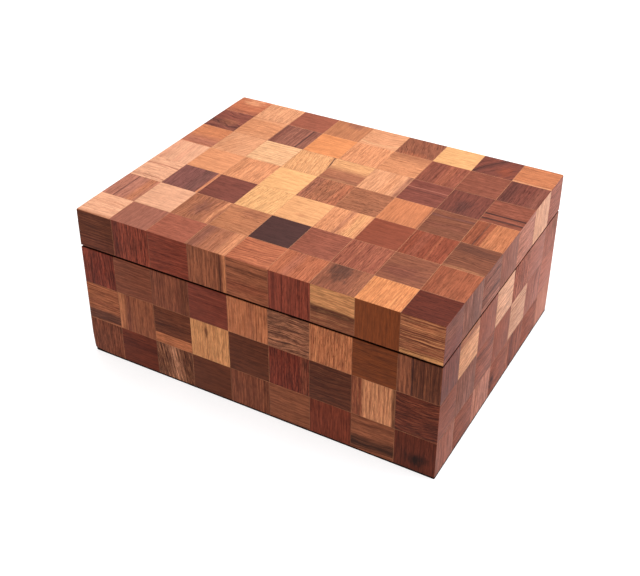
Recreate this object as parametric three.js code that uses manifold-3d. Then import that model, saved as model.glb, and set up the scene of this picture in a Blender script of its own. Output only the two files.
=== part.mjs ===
// A desktop humidor: a rectangular wooden case with a hinged lid, faced all over with a
// patchwork of square wood tiles, lined with cedar, and fitted inside the lid with a dial
// hygrometer and a clip-on humidifier. Millimetres, +Z up, +Y to the back, origin at the
// middle of the footprint (hinge barrels included) on the plane the felt stands on.

import * as THREE from 'three';
import { mergeVertices } from 'three/addons/utils/BufferGeometryUtils.js';
import { ConvexGeometry } from 'three/addons/geometries/ConvexGeometry.js';
import Module from 'manifold-3d';

// ---------------------------------------------------------------- driving dimensions
const WIDTH = 260; // case, left to right
const DEPTH = 200; // case, front to back
const HEIGHT = 114; // felt to the top of the lid
const BARREL_OUT = 2.8; // hinge axis behind the back face
const BARREL_R = 2.4; // hinge barrel radius
const FELT = 1.0; // felt thickness
const BASE_TOP = 85.5; // rim of the case
const LID_BOTTOM = 86.3; // rim of the lid, 0.8 above the case
const TILE = 2.5; // thickness of the tile facing
const GLUE = 0.15; // glue line between pieces
const CORE = 8.3; // case wall boards
const RAIL = 8.0; // lid frame rails
const LINER = 4.0; // cedar lining
const LIP = 6.0; // cedar standing above the rim of the case
const BOTTOM = 6.0; // bottom board
const FLOOR = 3.0; // cedar floor
const RABBET = 4.0; // rabbets that hold the bottom and the lid board
const LID_BOARD = 5.85; // lid board
const CEILING = 3.05; // cedar ceiling
const LID_ANGLE = 95; // the lid stops just past upright

const OVERALL_Y = DEPTH + BARREL_OUT + BARREL_R;
const Y_FRONT = -OVERALL_Y / 2; // front face
const Y_BACK = Y_FRONT + DEPTH; // back face
const Y_MID = (Y_FRONT + Y_BACK) / 2;
const X_SIDE = WIDTH / 2;
const SEAM = (BASE_TOP + LID_BOTTOM) / 2;
const AXIS_Y = Y_BACK + BARREL_OUT;

// hinges
const HINGE_X = 75;
const LEAF_LEN = 46;
const LEAF_T = 1.5;
const LEAF_W = 9;
const PIN_R = 1.1;
const BORE_R = 1.19;
const KNUCKLES = 5;
const KNUCKLE = 7.0;
const KNUCKLE_GAP = 0.3;
const EAR = 4.6;
const SCREW_X = 12;
const SCREW_IN = 5.5;

// hygrometer, set into the ceiling of the lid
const HYG_X = 62;
const HYG_R = 21.7;
const HYG_BORE_R = 22.1;
const HYG_BEZEL_R = 25.5;
const NEEDLE_DEG = 54; // needle clockwise of the dial's top, as read with the lid open

// humidifier, held by magnets under the ceiling
const HUM_X = -50;
const HUM_L = 96;
const HUM_W = 44;
const HUM_R = 8;

// divider
const DIV_X = 25;
const DIV_T = 5;
const DIV_H = 54;

// ---------------------------------------------------------------- solids
const wasm = await Module();
wasm.setup();

function bare(geometry) {
  const g = geometry.clone();
  for (const k of Object.keys(g.attributes)) if (k !== 'position') g.deleteAttribute(k);
  const m = mergeVertices(g, 1e-4);
  const p = m.attributes.position;
  let v = 0;
  const a = new THREE.Vector3(), b = new THREE.Vector3(), c = new THREE.Vector3();
  const idx = m.index.array;
  const keep = [];
  for (let i = 0; i < idx.length; i += 3) {
    if (idx[i] === idx[i + 1] || idx[i + 1] === idx[i + 2] || idx[i] === idx[i + 2]) continue;
    keep.push(idx[i], idx[i + 1], idx[i + 2]);
    a.fromBufferAttribute(p, idx[i]);
    b.fromBufferAttribute(p, idx[i + 1]);
    c.fromBufferAttribute(p, idx[i + 2]);
    v += a.dot(b.clone().cross(c));
  }
  if (v < 0) for (let i = 0; i < keep.length; i += 3) [keep[i + 1], keep[i + 2]] = [keep[i + 2], keep[i + 1]];
  return { positions: new Float32Array(p.array), triangles: new Uint32Array(keep) };
}

function solid(geometry) {
  const { positions, triangles } = bare(geometry);
  return new wasm.Manifold(new wasm.Mesh({ numProp: 3, vertProperties: positions, triVerts: triangles }));
}

function toGeometry(s) {
  const m = s.getMesh();
  const g = new THREE.BufferGeometry();
  g.setAttribute('position', new THREE.BufferAttribute(new Float32Array(m.vertProperties), 3));
  g.setIndex(new THREE.BufferAttribute(new Uint32Array(m.triVerts), 1));
  g.computeVertexNormals();
  return g;
}

function box(x0, x1, y0, y1, z0, z1) {
  return solid(new THREE.BoxGeometry(x1 - x0, y1 - y0, z1 - z0).translate((x0 + x1) / 2, (y0 + y1) / 2, (z0 + z1) / 2));
}

// A convex solid through the given corners.
function hull(points) {
  return solid(new ConvexGeometry(points.map((p) => new THREE.Vector3(...p))));
}

// A round solid from a profile of [radius, z] points, about a vertical line at x, y.
function turned(profile, x, y, segments = 36) {
  const g = new THREE.LatheGeometry(profile.map(([r, z]) => new THREE.Vector2(r, z)), segments);
  return solid(g.rotateX(Math.PI / 2).translate(x, y, 0));
}

function rod(x0, x1, y, z, r, segments = 20) {
  return solid(new THREE.CylinderGeometry(r, r, x1 - x0, segments).rotateZ(Math.PI / 2).translate((x0 + x1) / 2, y, z));
}

function post(x, y, z0, z1, r, segments = 20) {
  return solid(new THREE.CylinderGeometry(r, r, z1 - z0, segments).rotateX(Math.PI / 2).translate(x, y, (z0 + z1) / 2));
}

function roundedShape(l, w, r, steps = 5) {
  const s = new THREE.Shape();
  const corners = [[l / 2 - r, w / 2 - r, 0], [-l / 2 + r, w / 2 - r, 90], [-l / 2 + r, -w / 2 + r, 180], [l / 2 - r, -w / 2 + r, 270]];
  corners.forEach(([cx, cy, a0], k) => {
    for (let i = 0; i <= steps; i++) {
      const a = THREE.MathUtils.degToRad(a0 + (90 * i) / steps);
      const x = cx + r * Math.cos(a), y = cy + r * Math.sin(a);
      if (k === 0 && i === 0) s.moveTo(x, y);
      else s.lineTo(x, y);
    }
  });
  s.closePath();
  return s;
}

function slab(l, w, r, x, y, z0, z1, steps = 5) {
  return solid(new THREE.ExtrudeGeometry(roundedShape(l, w, r, steps), { depth: z1 - z0, bevelEnabled: false, curveSegments: 1 }).translate(x, y, z0));
}

// A polygon in the Y-Z plane carried along X.
function alongX(points, x0, x1) {
  const s = new THREE.Shape(points.map(([y, z]) => new THREE.Vector2(y, z)));
  const g = new THREE.ExtrudeGeometry(s, { depth: x1 - x0, bevelEnabled: false, curveSegments: 1 });
  // shape x -> Y, shape y -> Z, depth -> X
  g.applyMatrix4(new THREE.Matrix4().set(0, 0, 1, x0, 1, 0, 0, 0, 0, 1, 0, 0, 0, 0, 0, 1));
  return solid(g);
}

// One of four mitred pieces that run round the case. The profile is a list of [inset, z]
// corners, inset counted inwards from the outside of the case; the ends are cut at 45 degrees.
function mitred(side, profile, gap = GLUE / 2) {
  const pts = [];
  for (const [d, z] of profile) {
    const hx = X_SIDE - d, hy = DEPTH / 2 - d;
    if (side === 'front') pts.push([-hx + gap, Y_FRONT + d, z], [hx - gap, Y_FRONT + d, z]);
    if (side === 'back') pts.push([-hx + gap, Y_BACK - d, z], [hx - gap, Y_BACK - d, z]);
    if (side === 'left') pts.push([-X_SIDE + d, Y_MID - hy + gap, z], [-X_SIDE + d, Y_MID + hy - gap, z]);
    if (side === 'right') pts.push([X_SIDE - d, Y_MID - hy + gap, z], [X_SIDE - d, Y_MID + hy - gap, z]);
  }
  return hull(pts);
}

// ---------------------------------------------------------------- materials
const paint = (color, roughness, metalness = 0, extra = {}) => new THREE.MeshStandardMaterial({ color, roughness, metalness, ...extra });
const TILES = paint(0x9a5a36, 0.42);
const BOARD = paint(0xb08a5e, 0.75);
const CEDAR = paint(0xb9794f, 0.7);
const BRASS = paint(0xc9a14a, 0.28, 1);
const BAIZE = paint(0x1d1512, 0.95);
const PLASTIC = paint(0x141414, 0.5);
const FOAM = paint(0x3f5a3a, 0.95);
const STEEL = paint(0xb8bcc0, 0.3, 1);
const PAPER = paint(0xf2ecdc, 0.7);
const GLASS = paint(0xffffff, 0.05, 0, { transparent: true, opacity: 0.3 });
const BLACKED = paint(0x101010, 0.4, 0.3);

const humidor = new THREE.Group();
const carcase = new THREE.Group();
const lid = new THREE.Group();
const hygrometer = new THREE.Group();
const humidifier = new THREE.Group();
humidor.add(carcase, lid);
lid.position.set(0, AXIS_Y, SEAM); // the lid's own group turns about the hinge line
lid.add(hygrometer, humidifier);

// Adds a named piece. Its geometry is kept about its own middle and the mesh carries the place.
function add(group, name, s, material) {
  const g = toGeometry(s);
  g.computeBoundingBox();
  const c = g.boundingBox.getCenter(new THREE.Vector3());
  g.translate(-c.x, -c.y, -c.z);
  const mesh = new THREE.Mesh(g, material);
  mesh.name = name;
  const offset = new THREE.Vector3();
  for (let p = group; p; p = p.parent) offset.add(p.position);
  mesh.position.copy(c).sub(offset);
  group.add(mesh);
  return mesh;
}

// ---------------------------------------------------------------- hinge parts
const HINGES = [['left', -HINGE_X], ['right', HINGE_X]];
const leafBottom = (lower) => (lower ? BASE_TOP - 0.05 - LEAF_T : LID_BOTTOM + 0.05);

function mortise(x, lower) {
  const z0 = lower ? BASE_TOP - LEAF_T - 0.2 : LID_BOTTOM - 1;
  const z1 = lower ? BASE_TOP + 1 : LID_BOTTOM + LEAF_T + 0.2;
  return box(x - LEAF_LEN / 2 - 0.2, x + LEAF_LEN / 2 + 0.2, Y_BACK - LEAF_W - 0.2, Y_BACK + 2, z0, z1);
}

function pilots(x, lower) {
  let s = null;
  for (const dx of [-SCREW_X, SCREW_X]) {
    const p = lower
      ? post(x + dx, Y_BACK - SCREW_IN, BASE_TOP - 11.2, BASE_TOP, 1.4, 12)
      : post(x + dx, Y_BACK - SCREW_IN, LID_BOTTOM, LID_BOTTOM + 11.2, 1.4, 12);
    s = s ? s.add(p) : p;
  }
  return s;
}

function leaf(x, lower) {
  const z0 = leafBottom(lower), z1 = z0 + LEAF_T;
  let s = box(x - LEAF_LEN / 2, x + LEAF_LEN / 2, Y_BACK - LEAF_W, Y_BACK + 0.2, z0, z1);
  const barrelHalf = (KNUCKLES * KNUCKLE) / 2;
  for (let k = 0; k < KNUCKLES; k++) {
    if ((k % 2 === 0) !== lower) continue;
    const a = x - barrelHalf + k * KNUCKLE + KNUCKLE_GAP / 2;
    const b = a + KNUCKLE - KNUCKLE_GAP;
    s = s.add(box(a, b, Y_BACK - 0.5, AXIS_Y, z0, z1)).add(rod(a, b, AXIS_Y, SEAM, BARREL_R));
  }
  s = s.subtract(rod(x - 30, x + 30, AXIS_Y, SEAM, BORE_R, 24));
  // the heels that meet when the lid stands just past upright
  const fall = Math.tan(THREE.MathUtils.degToRad(LID_ANGLE - 90)) * BARREL_R;
  const heel = lower
    ? [[Y_BACK - 1, z0], [AXIS_Y + BARREL_R, z0], [AXIS_Y + BARREL_R, SEAM + 0.05 - fall], [AXIS_Y, SEAM + 0.05], [Y_BACK + 0.3, SEAM + 0.05], [Y_BACK + 0.3, z1], [Y_BACK - 1, z1]]
    : [[Y_BACK - 1, z0], [AXIS_Y - 0.1, z0], [AXIS_Y - 0.1, SEAM + 6], [Y_BACK + 0.3, SEAM + 6], [Y_BACK + 0.3, z1], [Y_BACK - 1, z1]];
  for (const [a, b] of [[x - LEAF_LEN / 2, x - LEAF_LEN / 2 + EAR], [x + LEAF_LEN / 2 - EAR, x + LEAF_LEN / 2]]) s = s.add(alongX(heel, a, b));
  for (const dx of [-SCREW_X, SCREW_X]) {
    const face = lower ? z1 : z0, dir = lower ? -1 : 1;
    s = s.subtract(turned([[0, face - dir * 0.5], [2.9, face - dir * 0.5], [2.55, face], [1.45, face + dir * 1.2], [1.45, face + dir * 3], [0, face + dir * 3]], x + dx, Y_BACK - SCREW_IN, 16));
  }
  return s;
}

function screw(x, lower) {
  const face = lower ? leafBottom(true) + LEAF_T - 0.05 : leafBottom(false) + 0.05, dir = lower ? -1 : 1;
  let s = turned([[0, face], [2.35, face], [1.25, face + dir * 1.2], [1.2, face + dir * 8], [0, face + dir * 9.4]], x, Y_BACK - SCREW_IN, 12);
  const z = [face - 0.5 * dir, face + 0.6 * dir].sort((p, q) => p - q);
  s = s.subtract(box(x - 1.3, x + 1.3, Y_BACK - SCREW_IN - 0.25, Y_BACK - SCREW_IN + 0.25, z[0], z[1]));
  s = s.subtract(box(x - 0.25, x + 0.25, Y_BACK - SCREW_IN - 1.3, Y_BACK - SCREW_IN + 1.3, z[0], z[1]));
  return s;
}

// ---------------------------------------------------------------- case
const coreOut = TILE + GLUE; // outside of the wall boards, inset from the tile face
const coreIn = coreOut + CORE;
const linerOut = coreIn + GLUE;
const linerIn = linerOut + LINER;
const bottomZ = FELT + GLUE;
const floorZ = bottomZ + BOTTOM + GLUE;

add(carcase, 'felt_base', slab(WIDTH - 1.6, DEPTH - 1.6, 2, 0, Y_MID, 0, FELT, 3), BAIZE);

// bottom board, let into rabbets round the foot of the walls
add(carcase, 'base_bottom_board', box(-X_SIDE + coreIn - RABBET + GLUE, X_SIDE - coreIn + RABBET - GLUE, Y_FRONT + coreIn - RABBET + GLUE, Y_BACK - coreIn + RABBET - GLUE, bottomZ, bottomZ + BOTTOM), BOARD);
const bottomRabbet = box(-X_SIDE + coreIn - RABBET, X_SIDE - coreIn + RABBET, Y_FRONT + coreIn - RABBET, Y_BACK - coreIn + RABBET, 0, bottomZ + BOTTOM + GLUE);

// front and back boards run the full width and are rabbeted for the side boards
function longBoard(back, z0, z1, out, thick) {
  const y0 = back ? Y_BACK - out - thick : Y_FRONT + out;
  let s = box(-X_SIDE + out, X_SIDE - out, y0, y0 + thick, z0, z1);
  const c0 = back ? y0 - 1 : y0 + thick / 2, c1 = back ? y0 + thick / 2 : y0 + thick + 1;
  for (const k of [-1, 1]) {
    const xs = [k * (X_SIDE - out - thick), k * (X_SIDE + 1)].sort((a, b) => a - b);
    s = s.subtract(box(xs[0], xs[1], c0, c1, z0 - 1, z1 + 1));
  }
  return s;
}
function shortBoard(right, z0, z1, out, thick) {
  const y0 = Y_FRONT + out + thick / 2 + GLUE, y1 = Y_BACK - out - thick / 2 - GLUE;
  const xs = right ? [X_SIDE - out - thick + GLUE, X_SIDE - out] : [-X_SIDE + out, -X_SIDE + out + thick - GLUE];
  return box(xs[0], xs[1], y0, y1, z0, z1);
}
let backBoard = longBoard(true, FELT + GLUE, BASE_TOP, coreOut, CORE).subtract(bottomRabbet);
for (const [, x] of HINGES) backBoard = backBoard.subtract(mortise(x, true)).subtract(pilots(x, true));
add(carcase, 'base_front_board', longBoard(false, FELT + GLUE, BASE_TOP, coreOut, CORE).subtract(bottomRabbet), BOARD);
add(carcase, 'base_back_board', backBoard, BOARD);
add(carcase, 'base_left_board', shortBoard(false, FELT + GLUE, BASE_TOP, coreOut, CORE).subtract(bottomRabbet), BOARD);
add(carcase, 'base_right_board', shortBoard(true, FELT + GLUE, BASE_TOP, coreOut, CORE).subtract(bottomRabbet), BOARD);

// tile facing of the case, mitred at the corners
for (const side of ['front', 'back', 'left', 'right']) {
  let s = mitred(side, [[0, FELT + GLUE], [0, BASE_TOP], [TILE, BASE_TOP], [TILE, FELT + GLUE]]);
  if (side === 'back') for (const [, x] of HINGES) s = s.subtract(mortise(x, true));
  add(carcase, `base_${side}_tiles`, s, TILES);
}

// cedar lining, standing above the rim as a lip that the lid closes over
add(carcase, 'cedar_floor', box(-X_SIDE + linerOut, X_SIDE - linerOut, Y_FRONT + linerOut, Y_BACK - linerOut, floorZ, floorZ + FLOOR), CEDAR);
const lipTop = BASE_TOP + LIP;
for (const side of ['front', 'back', 'left', 'right']) {
  const z0 = floorZ + FLOOR + GLUE;
  add(carcase, `base_${side}_cedar`, mitred(side, [[linerOut + 0.15, z0], [linerOut + 0.15, lipTop - 2.2], [linerOut + 1.6, lipTop], [linerIn, lipTop], [linerIn, z0]]), CEDAR);
}

// ---------------------------------------------------------------- lid
const lidTop = HEIGHT - TILE - GLUE; // top of the rails and of the lid board
const railIn = coreOut + RAIL;
const boardZ = lidTop - LID_BOARD;
const lidRabbet = box(-X_SIDE + railIn - RABBET, X_SIDE - railIn + RABBET, Y_FRONT + railIn - RABBET, Y_BACK - railIn + RABBET, boardZ - GLUE, HEIGHT + 1);
const hygWell = turned([[0, 90], [HYG_BORE_R, 90], [HYG_BORE_R, boardZ + 4], [0, boardZ + 4]], HYG_X, Y_MID, 36);

let backRail = longBoard(true, LID_BOTTOM, lidTop, coreOut, RAIL).subtract(lidRabbet);
for (const [, x] of HINGES) backRail = backRail.subtract(mortise(x, false)).subtract(pilots(x, false));
add(lid, 'lid_front_rail', longBoard(false, LID_BOTTOM, lidTop, coreOut, RAIL).subtract(lidRabbet), BOARD);
add(lid, 'lid_back_rail', backRail, BOARD);
add(lid, 'lid_left_rail', shortBoard(false, LID_BOTTOM, lidTop, coreOut, RAIL).subtract(lidRabbet), BOARD);
add(lid, 'lid_right_rail', shortBoard(true, LID_BOTTOM, lidTop, coreOut, RAIL).subtract(lidRabbet), BOARD);
const board = box(-X_SIDE + railIn - RABBET + GLUE, X_SIDE - railIn + RABBET - GLUE, Y_FRONT + railIn - RABBET + GLUE, Y_BACK - railIn + RABBET - GLUE, boardZ, lidTop);
add(lid, 'lid_top_board', board.subtract(hygWell), BOARD);

for (const side of ['front', 'back', 'left', 'right']) {
  let s = mitred(side, [[0, LID_BOTTOM], [0, HEIGHT - GLUE / 2], [TILE, HEIGHT - TILE - GLUE / 2], [TILE, LID_BOTTOM]]);
  if (side === 'back') for (const [, x] of HINGES) s = s.subtract(mortise(x, false));
  add(lid, `lid_${side}_tiles`, s, TILES);
}
const topTiles = [];
for (const [inset, z] of [[GLUE / 2, HEIGHT], [TILE + GLUE / 2, HEIGHT - TILE]])
  for (const sx of [-1, 1]) for (const sy of [-1, 1]) topTiles.push([sx * (X_SIDE - inset), Y_MID + sy * (DEPTH / 2 - inset), z]);
add(lid, 'lid_top_tiles', hull(topTiles), TILES);

const ceilTop = boardZ - GLUE, ceilZ = ceilTop - CEILING;
const ceilIn = railIn + GLUE;
add(lid, 'lid_cedar_ceiling', box(-X_SIDE + ceilIn, X_SIDE - ceilIn, Y_FRONT + ceilIn, Y_BACK - ceilIn, ceilZ, ceilTop).subtract(hygWell), CEDAR);
for (const side of ['front', 'back', 'left', 'right'])
  add(lid, `lid_${side}_cedar`, mitred(side, [[ceilIn, lipTop + 0.3], [ceilIn, ceilZ - GLUE], [ceilIn + LINER, ceilZ - GLUE], [ceilIn + LINER, lipTop + 0.3]]), CEDAR);

// ---------------------------------------------------------------- hinges
for (const [hand, x] of HINGES) {
  add(carcase, `hinge_${hand}_base_leaf`, leaf(x, true), BRASS);
  add(lid, `hinge_${hand}_lid_leaf`, leaf(x, false), BRASS);
  const half = (KNUCKLES * KNUCKLE) / 2 - 0.1;
  add(carcase, `hinge_${hand}_pin`, rod(x - half, x + half, AXIS_Y, SEAM, PIN_R, 24), BRASS);
  [-SCREW_X, SCREW_X].forEach((dx, i) => {
    add(carcase, `hinge_${hand}_base_screw_${i + 1}`, screw(x + dx, true), BRASS);
    add(lid, `hinge_${hand}_lid_screw_${i + 1}`, screw(x + dx, false), BRASS);
  });
}

// ---------------------------------------------------------------- hygrometer (dial faces down into the case)
const hz = ceilZ; // underside of the ceiling
add(hygrometer, 'hygrometer_case', turned([[0, hz + 6.7], [HYG_R, hz + 6.7], [HYG_R, hz], [HYG_R - 1, hz], [HYG_R - 1, hz + 5.7], [0, hz + 5.7]], HYG_X, Y_MID), BLACKED);
add(hygrometer, 'hygrometer_dial', turned([[1.3, hz + 1.3], [HYG_R - 1.3, hz + 1.3], [HYG_R - 1.3, hz + 1.9], [1.3, hz + 1.9], [1.3, hz + 1.3]], HYG_X, Y_MID), PAPER);
add(hygrometer, 'hygrometer_bezel', turned([[19.3, hz - 2.6], [23.2, hz - 2.6], [HYG_BEZEL_R, hz - 1.2], [HYG_BEZEL_R, hz - 0.15], [20.7, hz - 0.15], [20.7, hz - 1.6], [19.3, hz - 1.6], [19.3, hz - 2.6]], HYG_X, Y_MID), BRASS);
add(hygrometer, 'hygrometer_lens', turned([[0, hz - 1.45], [20.4, hz - 1.45], [20.4, hz - 0.45], [0, hz - 0.45]], HYG_X, Y_MID), GLASS);

// needle, its hub and the staff that goes up through the dial; the dial's top is towards the front
{
  const s = new THREE.Shape([[-1.0, -5.5], [1.0, -5.5], [0.55, 0], [0.15, 15.5], [-0.15, 15.5], [-0.55, 0]].map(([x, y]) => new THREE.Vector2(x, y)));
  const turn = THREE.MathUtils.degToRad(NEEDLE_DEG - 180);
  const blade = solid(new THREE.ExtrudeGeometry(s, { depth: 0.4, bevelEnabled: false }).rotateZ(turn).translate(HYG_X, Y_MID, hz + 0.35));
  const needle = blade.add(post(HYG_X, Y_MID, hz + 0.2, hz + 0.95, 1.7, 16)).add(post(HYG_X, Y_MID, hz + 0.5, hz + 5.2, 0.8, 12));
  add(hygrometer, 'hygrometer_needle', needle, BLACKED);
}
// humidity-sensing coil behind the dial, its inner end by the staff
{
  const inner = [], outer = [];
  const turns = 2.5, steps = 40, t = 0.35;
  for (let i = 0; i <= steps; i++) {
    const a = (i / steps) * turns * 2 * Math.PI;
    const r = 1.6 + (7.4 * i) / steps;
    inner.push([(r - t / 2) * Math.cos(a), (r - t / 2) * Math.sin(a)]);
    outer.push([(r + t / 2) * Math.cos(a), (r + t / 2) * Math.sin(a)]);
  }
  const s = new THREE.Shape([...outer, ...inner.reverse()].map(([x, y]) => new THREE.Vector2(x, y)));
  add(hygrometer, 'hygrometer_coil', solid(new THREE.ExtrudeGeometry(s, { depth: 2.2, bevelEnabled: false }).translate(HYG_X, Y_MID, hz + 2.6)), BRASS);
}

// ---------------------------------------------------------------- humidifier
const plateZ = ceilZ - GLUE - 0.8; // steel strip stuck to the ceiling
add(lid, 'humidifier_lid_plate', slab(64, 16, 3, HUM_X, Y_MID, plateZ, plateZ + 0.8, 3), STEEL);
const humTop = plateZ - GLUE, humZ = humTop - 13.2, cavityTop = humTop - 3.2;
const MAGNETS = [['left', -24], ['right', 24]];
let shell = slab(HUM_L, HUM_W, HUM_R, HUM_X, Y_MID, humZ, humTop).subtract(slab(HUM_L - 3.6, HUM_W - 3.6, HUM_R - 1.8, HUM_X, Y_MID, humZ - 1, cavityTop));
for (const [, dx] of MAGNETS) shell = shell.subtract(post(HUM_X + dx, Y_MID, humTop - 2.2, humTop + 1, 5.2, 20));
add(humidifier, 'humidifier_case', shell, PLASTIC);
for (const [hand, dx] of MAGNETS) add(humidifier, `humidifier_magnet_${hand}`, post(HUM_X + dx, Y_MID, humTop - 2.05, humTop - 0.05, 5.0, 20), STEEL);
// snap-in cover with a row of vents
let grille = slab(HUM_L, HUM_W, HUM_R, HUM_X, Y_MID, humZ - 2.0, humZ - 0.15).add(
  slab(HUM_L - 4.0, HUM_W - 4.0, HUM_R - 2, HUM_X, Y_MID, humZ - 0.5, humZ + 2.2).subtract(slab(HUM_L - 7, HUM_W - 7, HUM_R - 3.5, HUM_X, Y_MID, humZ - 2, humZ + 3)));
for (let i = -4; i <= 4; i++) grille = grille.subtract(slab(3.6, HUM_W - 15, 1.7, HUM_X + i * 8.6, Y_MID, humZ - 4, humZ + 4, 3));
add(humidifier, 'humidifier_grille', grille, PLASTIC);
add(humidifier, 'humidifier_foam', slab(HUM_L - 4.4, HUM_W - 4.4, HUM_R - 2.2, HUM_X, Y_MID, humZ + 2.5, cavityTop - 0.3, 3), FOAM);

// ---------------------------------------------------------------- divider, a loose board across the case
{
  const half = DEPTH / 2 - linerIn - 0.3;
  const z0 = floorZ + FLOOR + GLUE + 0.15, z1 = z0 + DIV_H;
  const pts = [[Y_MID - half, z0], [Y_MID + half, z0], [Y_MID + half, z1]];
  const n = 10, cw = 17, cd = 9;
  for (let i = 0; i <= n; i++) {
    const a = (Math.PI * i) / n;
    pts.push([Y_MID + cw * Math.cos(a), z1 - cd * Math.sin(a)]);
  }
  pts.push([Y_MID - half, z1]);
  add(carcase, 'cedar_divider', alongX(pts, DIV_X - DIV_T / 2, DIV_X + DIV_T / 2), CEDAR);
}

export default humidor;
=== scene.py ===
# A desktop humidor with a patchwork of square wood tiles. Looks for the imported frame.
# All lengths are metres in the frame; helper code for the tiles works in millimetres.

import math
import random

import bpy
import bmesh
import numpy as np
from mathutils import Matrix, Vector


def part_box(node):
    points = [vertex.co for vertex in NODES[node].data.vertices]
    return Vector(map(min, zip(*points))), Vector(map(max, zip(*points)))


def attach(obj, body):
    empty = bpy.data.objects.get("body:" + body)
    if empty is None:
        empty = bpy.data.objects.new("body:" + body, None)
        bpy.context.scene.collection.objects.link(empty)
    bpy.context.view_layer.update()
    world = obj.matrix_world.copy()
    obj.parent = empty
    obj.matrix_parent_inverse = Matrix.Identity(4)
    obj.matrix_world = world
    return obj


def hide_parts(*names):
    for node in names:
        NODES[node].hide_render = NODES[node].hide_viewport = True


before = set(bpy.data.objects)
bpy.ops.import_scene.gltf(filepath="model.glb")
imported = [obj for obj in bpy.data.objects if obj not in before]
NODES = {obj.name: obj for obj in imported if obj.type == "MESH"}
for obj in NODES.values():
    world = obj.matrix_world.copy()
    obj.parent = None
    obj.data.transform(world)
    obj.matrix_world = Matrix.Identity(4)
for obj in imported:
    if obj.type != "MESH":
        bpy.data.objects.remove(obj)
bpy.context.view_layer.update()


MM = 0.001
X_SIDE = 130.0
Y_FRONT = -102.6
Y_BACK = 97.4
Y_MID = (Y_FRONT + Y_BACK) / 2
Z_FOOT = 1.15
Z_RIM = 85.2
Z_LID = 86.5
Z_TOP = 114.0
AXIS_Y = 100.2

# ------------------------------------------------------------------ camera
CAM_AZ, CAM_EL, CAM_ROLL = math.radians(29.312), math.radians(32.078), math.radians(0.107)
CAM_DIST, CAM_F = 736.65 * MM, 1062.31
CAM_AXIS_X, CAM_AXIS_Y = 319.64, 241.55
CAM_TARGET = Vector((-7.970, 1.896, 69.480)) * MM

back = Vector((math.sin(CAM_AZ) * math.cos(CAM_EL), -math.cos(CAM_AZ) * math.cos(CAM_EL), math.sin(CAM_EL)))
right = (-back).cross(Vector((0, 0, 1))).normalized()
up = right.cross(-back)
r2 = right * math.cos(CAM_ROLL) + up * math.sin(CAM_ROLL)
u2 = up * math.cos(CAM_ROLL) - right * math.sin(CAM_ROLL)
cam_data = bpy.data.cameras.new("camera")
cam_data.sensor_fit = "HORIZONTAL"
cam_data.sensor_width = 36.0
cam_data.lens = CAM_F * 36.0 / 640.0
cam_data.shift_x = (320.0 - CAM_AXIS_X) / 640.0
cam_data.shift_y = (CAM_AXIS_Y - 288.0) / 640.0
cam_data.clip_start = 0.02
cam_data.clip_end = 50
camera = bpy.data.objects.new("camera", cam_data)
place = CAM_TARGET + back * CAM_DIST
camera.matrix_world = Matrix(((r2.x, u2.x, back.x, place.x), (r2.y, u2.y, back.y, place.y), (r2.z, u2.z, back.z, place.z), (0, 0, 0, 1)))
bpy.context.scene.collection.objects.link(camera)
bpy.context.scene.camera = camera


# ------------------------------------------------------------------ colours
def lin(c):
    c = c / 255.0
    return c / 12.92 if c <= 0.04045 else ((c + 0.055) / 1.055) ** 2.4


def rgb(r, g, b, k=1.0):
    return (lin(r) * k, lin(g) * k, lin(b) * k)


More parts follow.
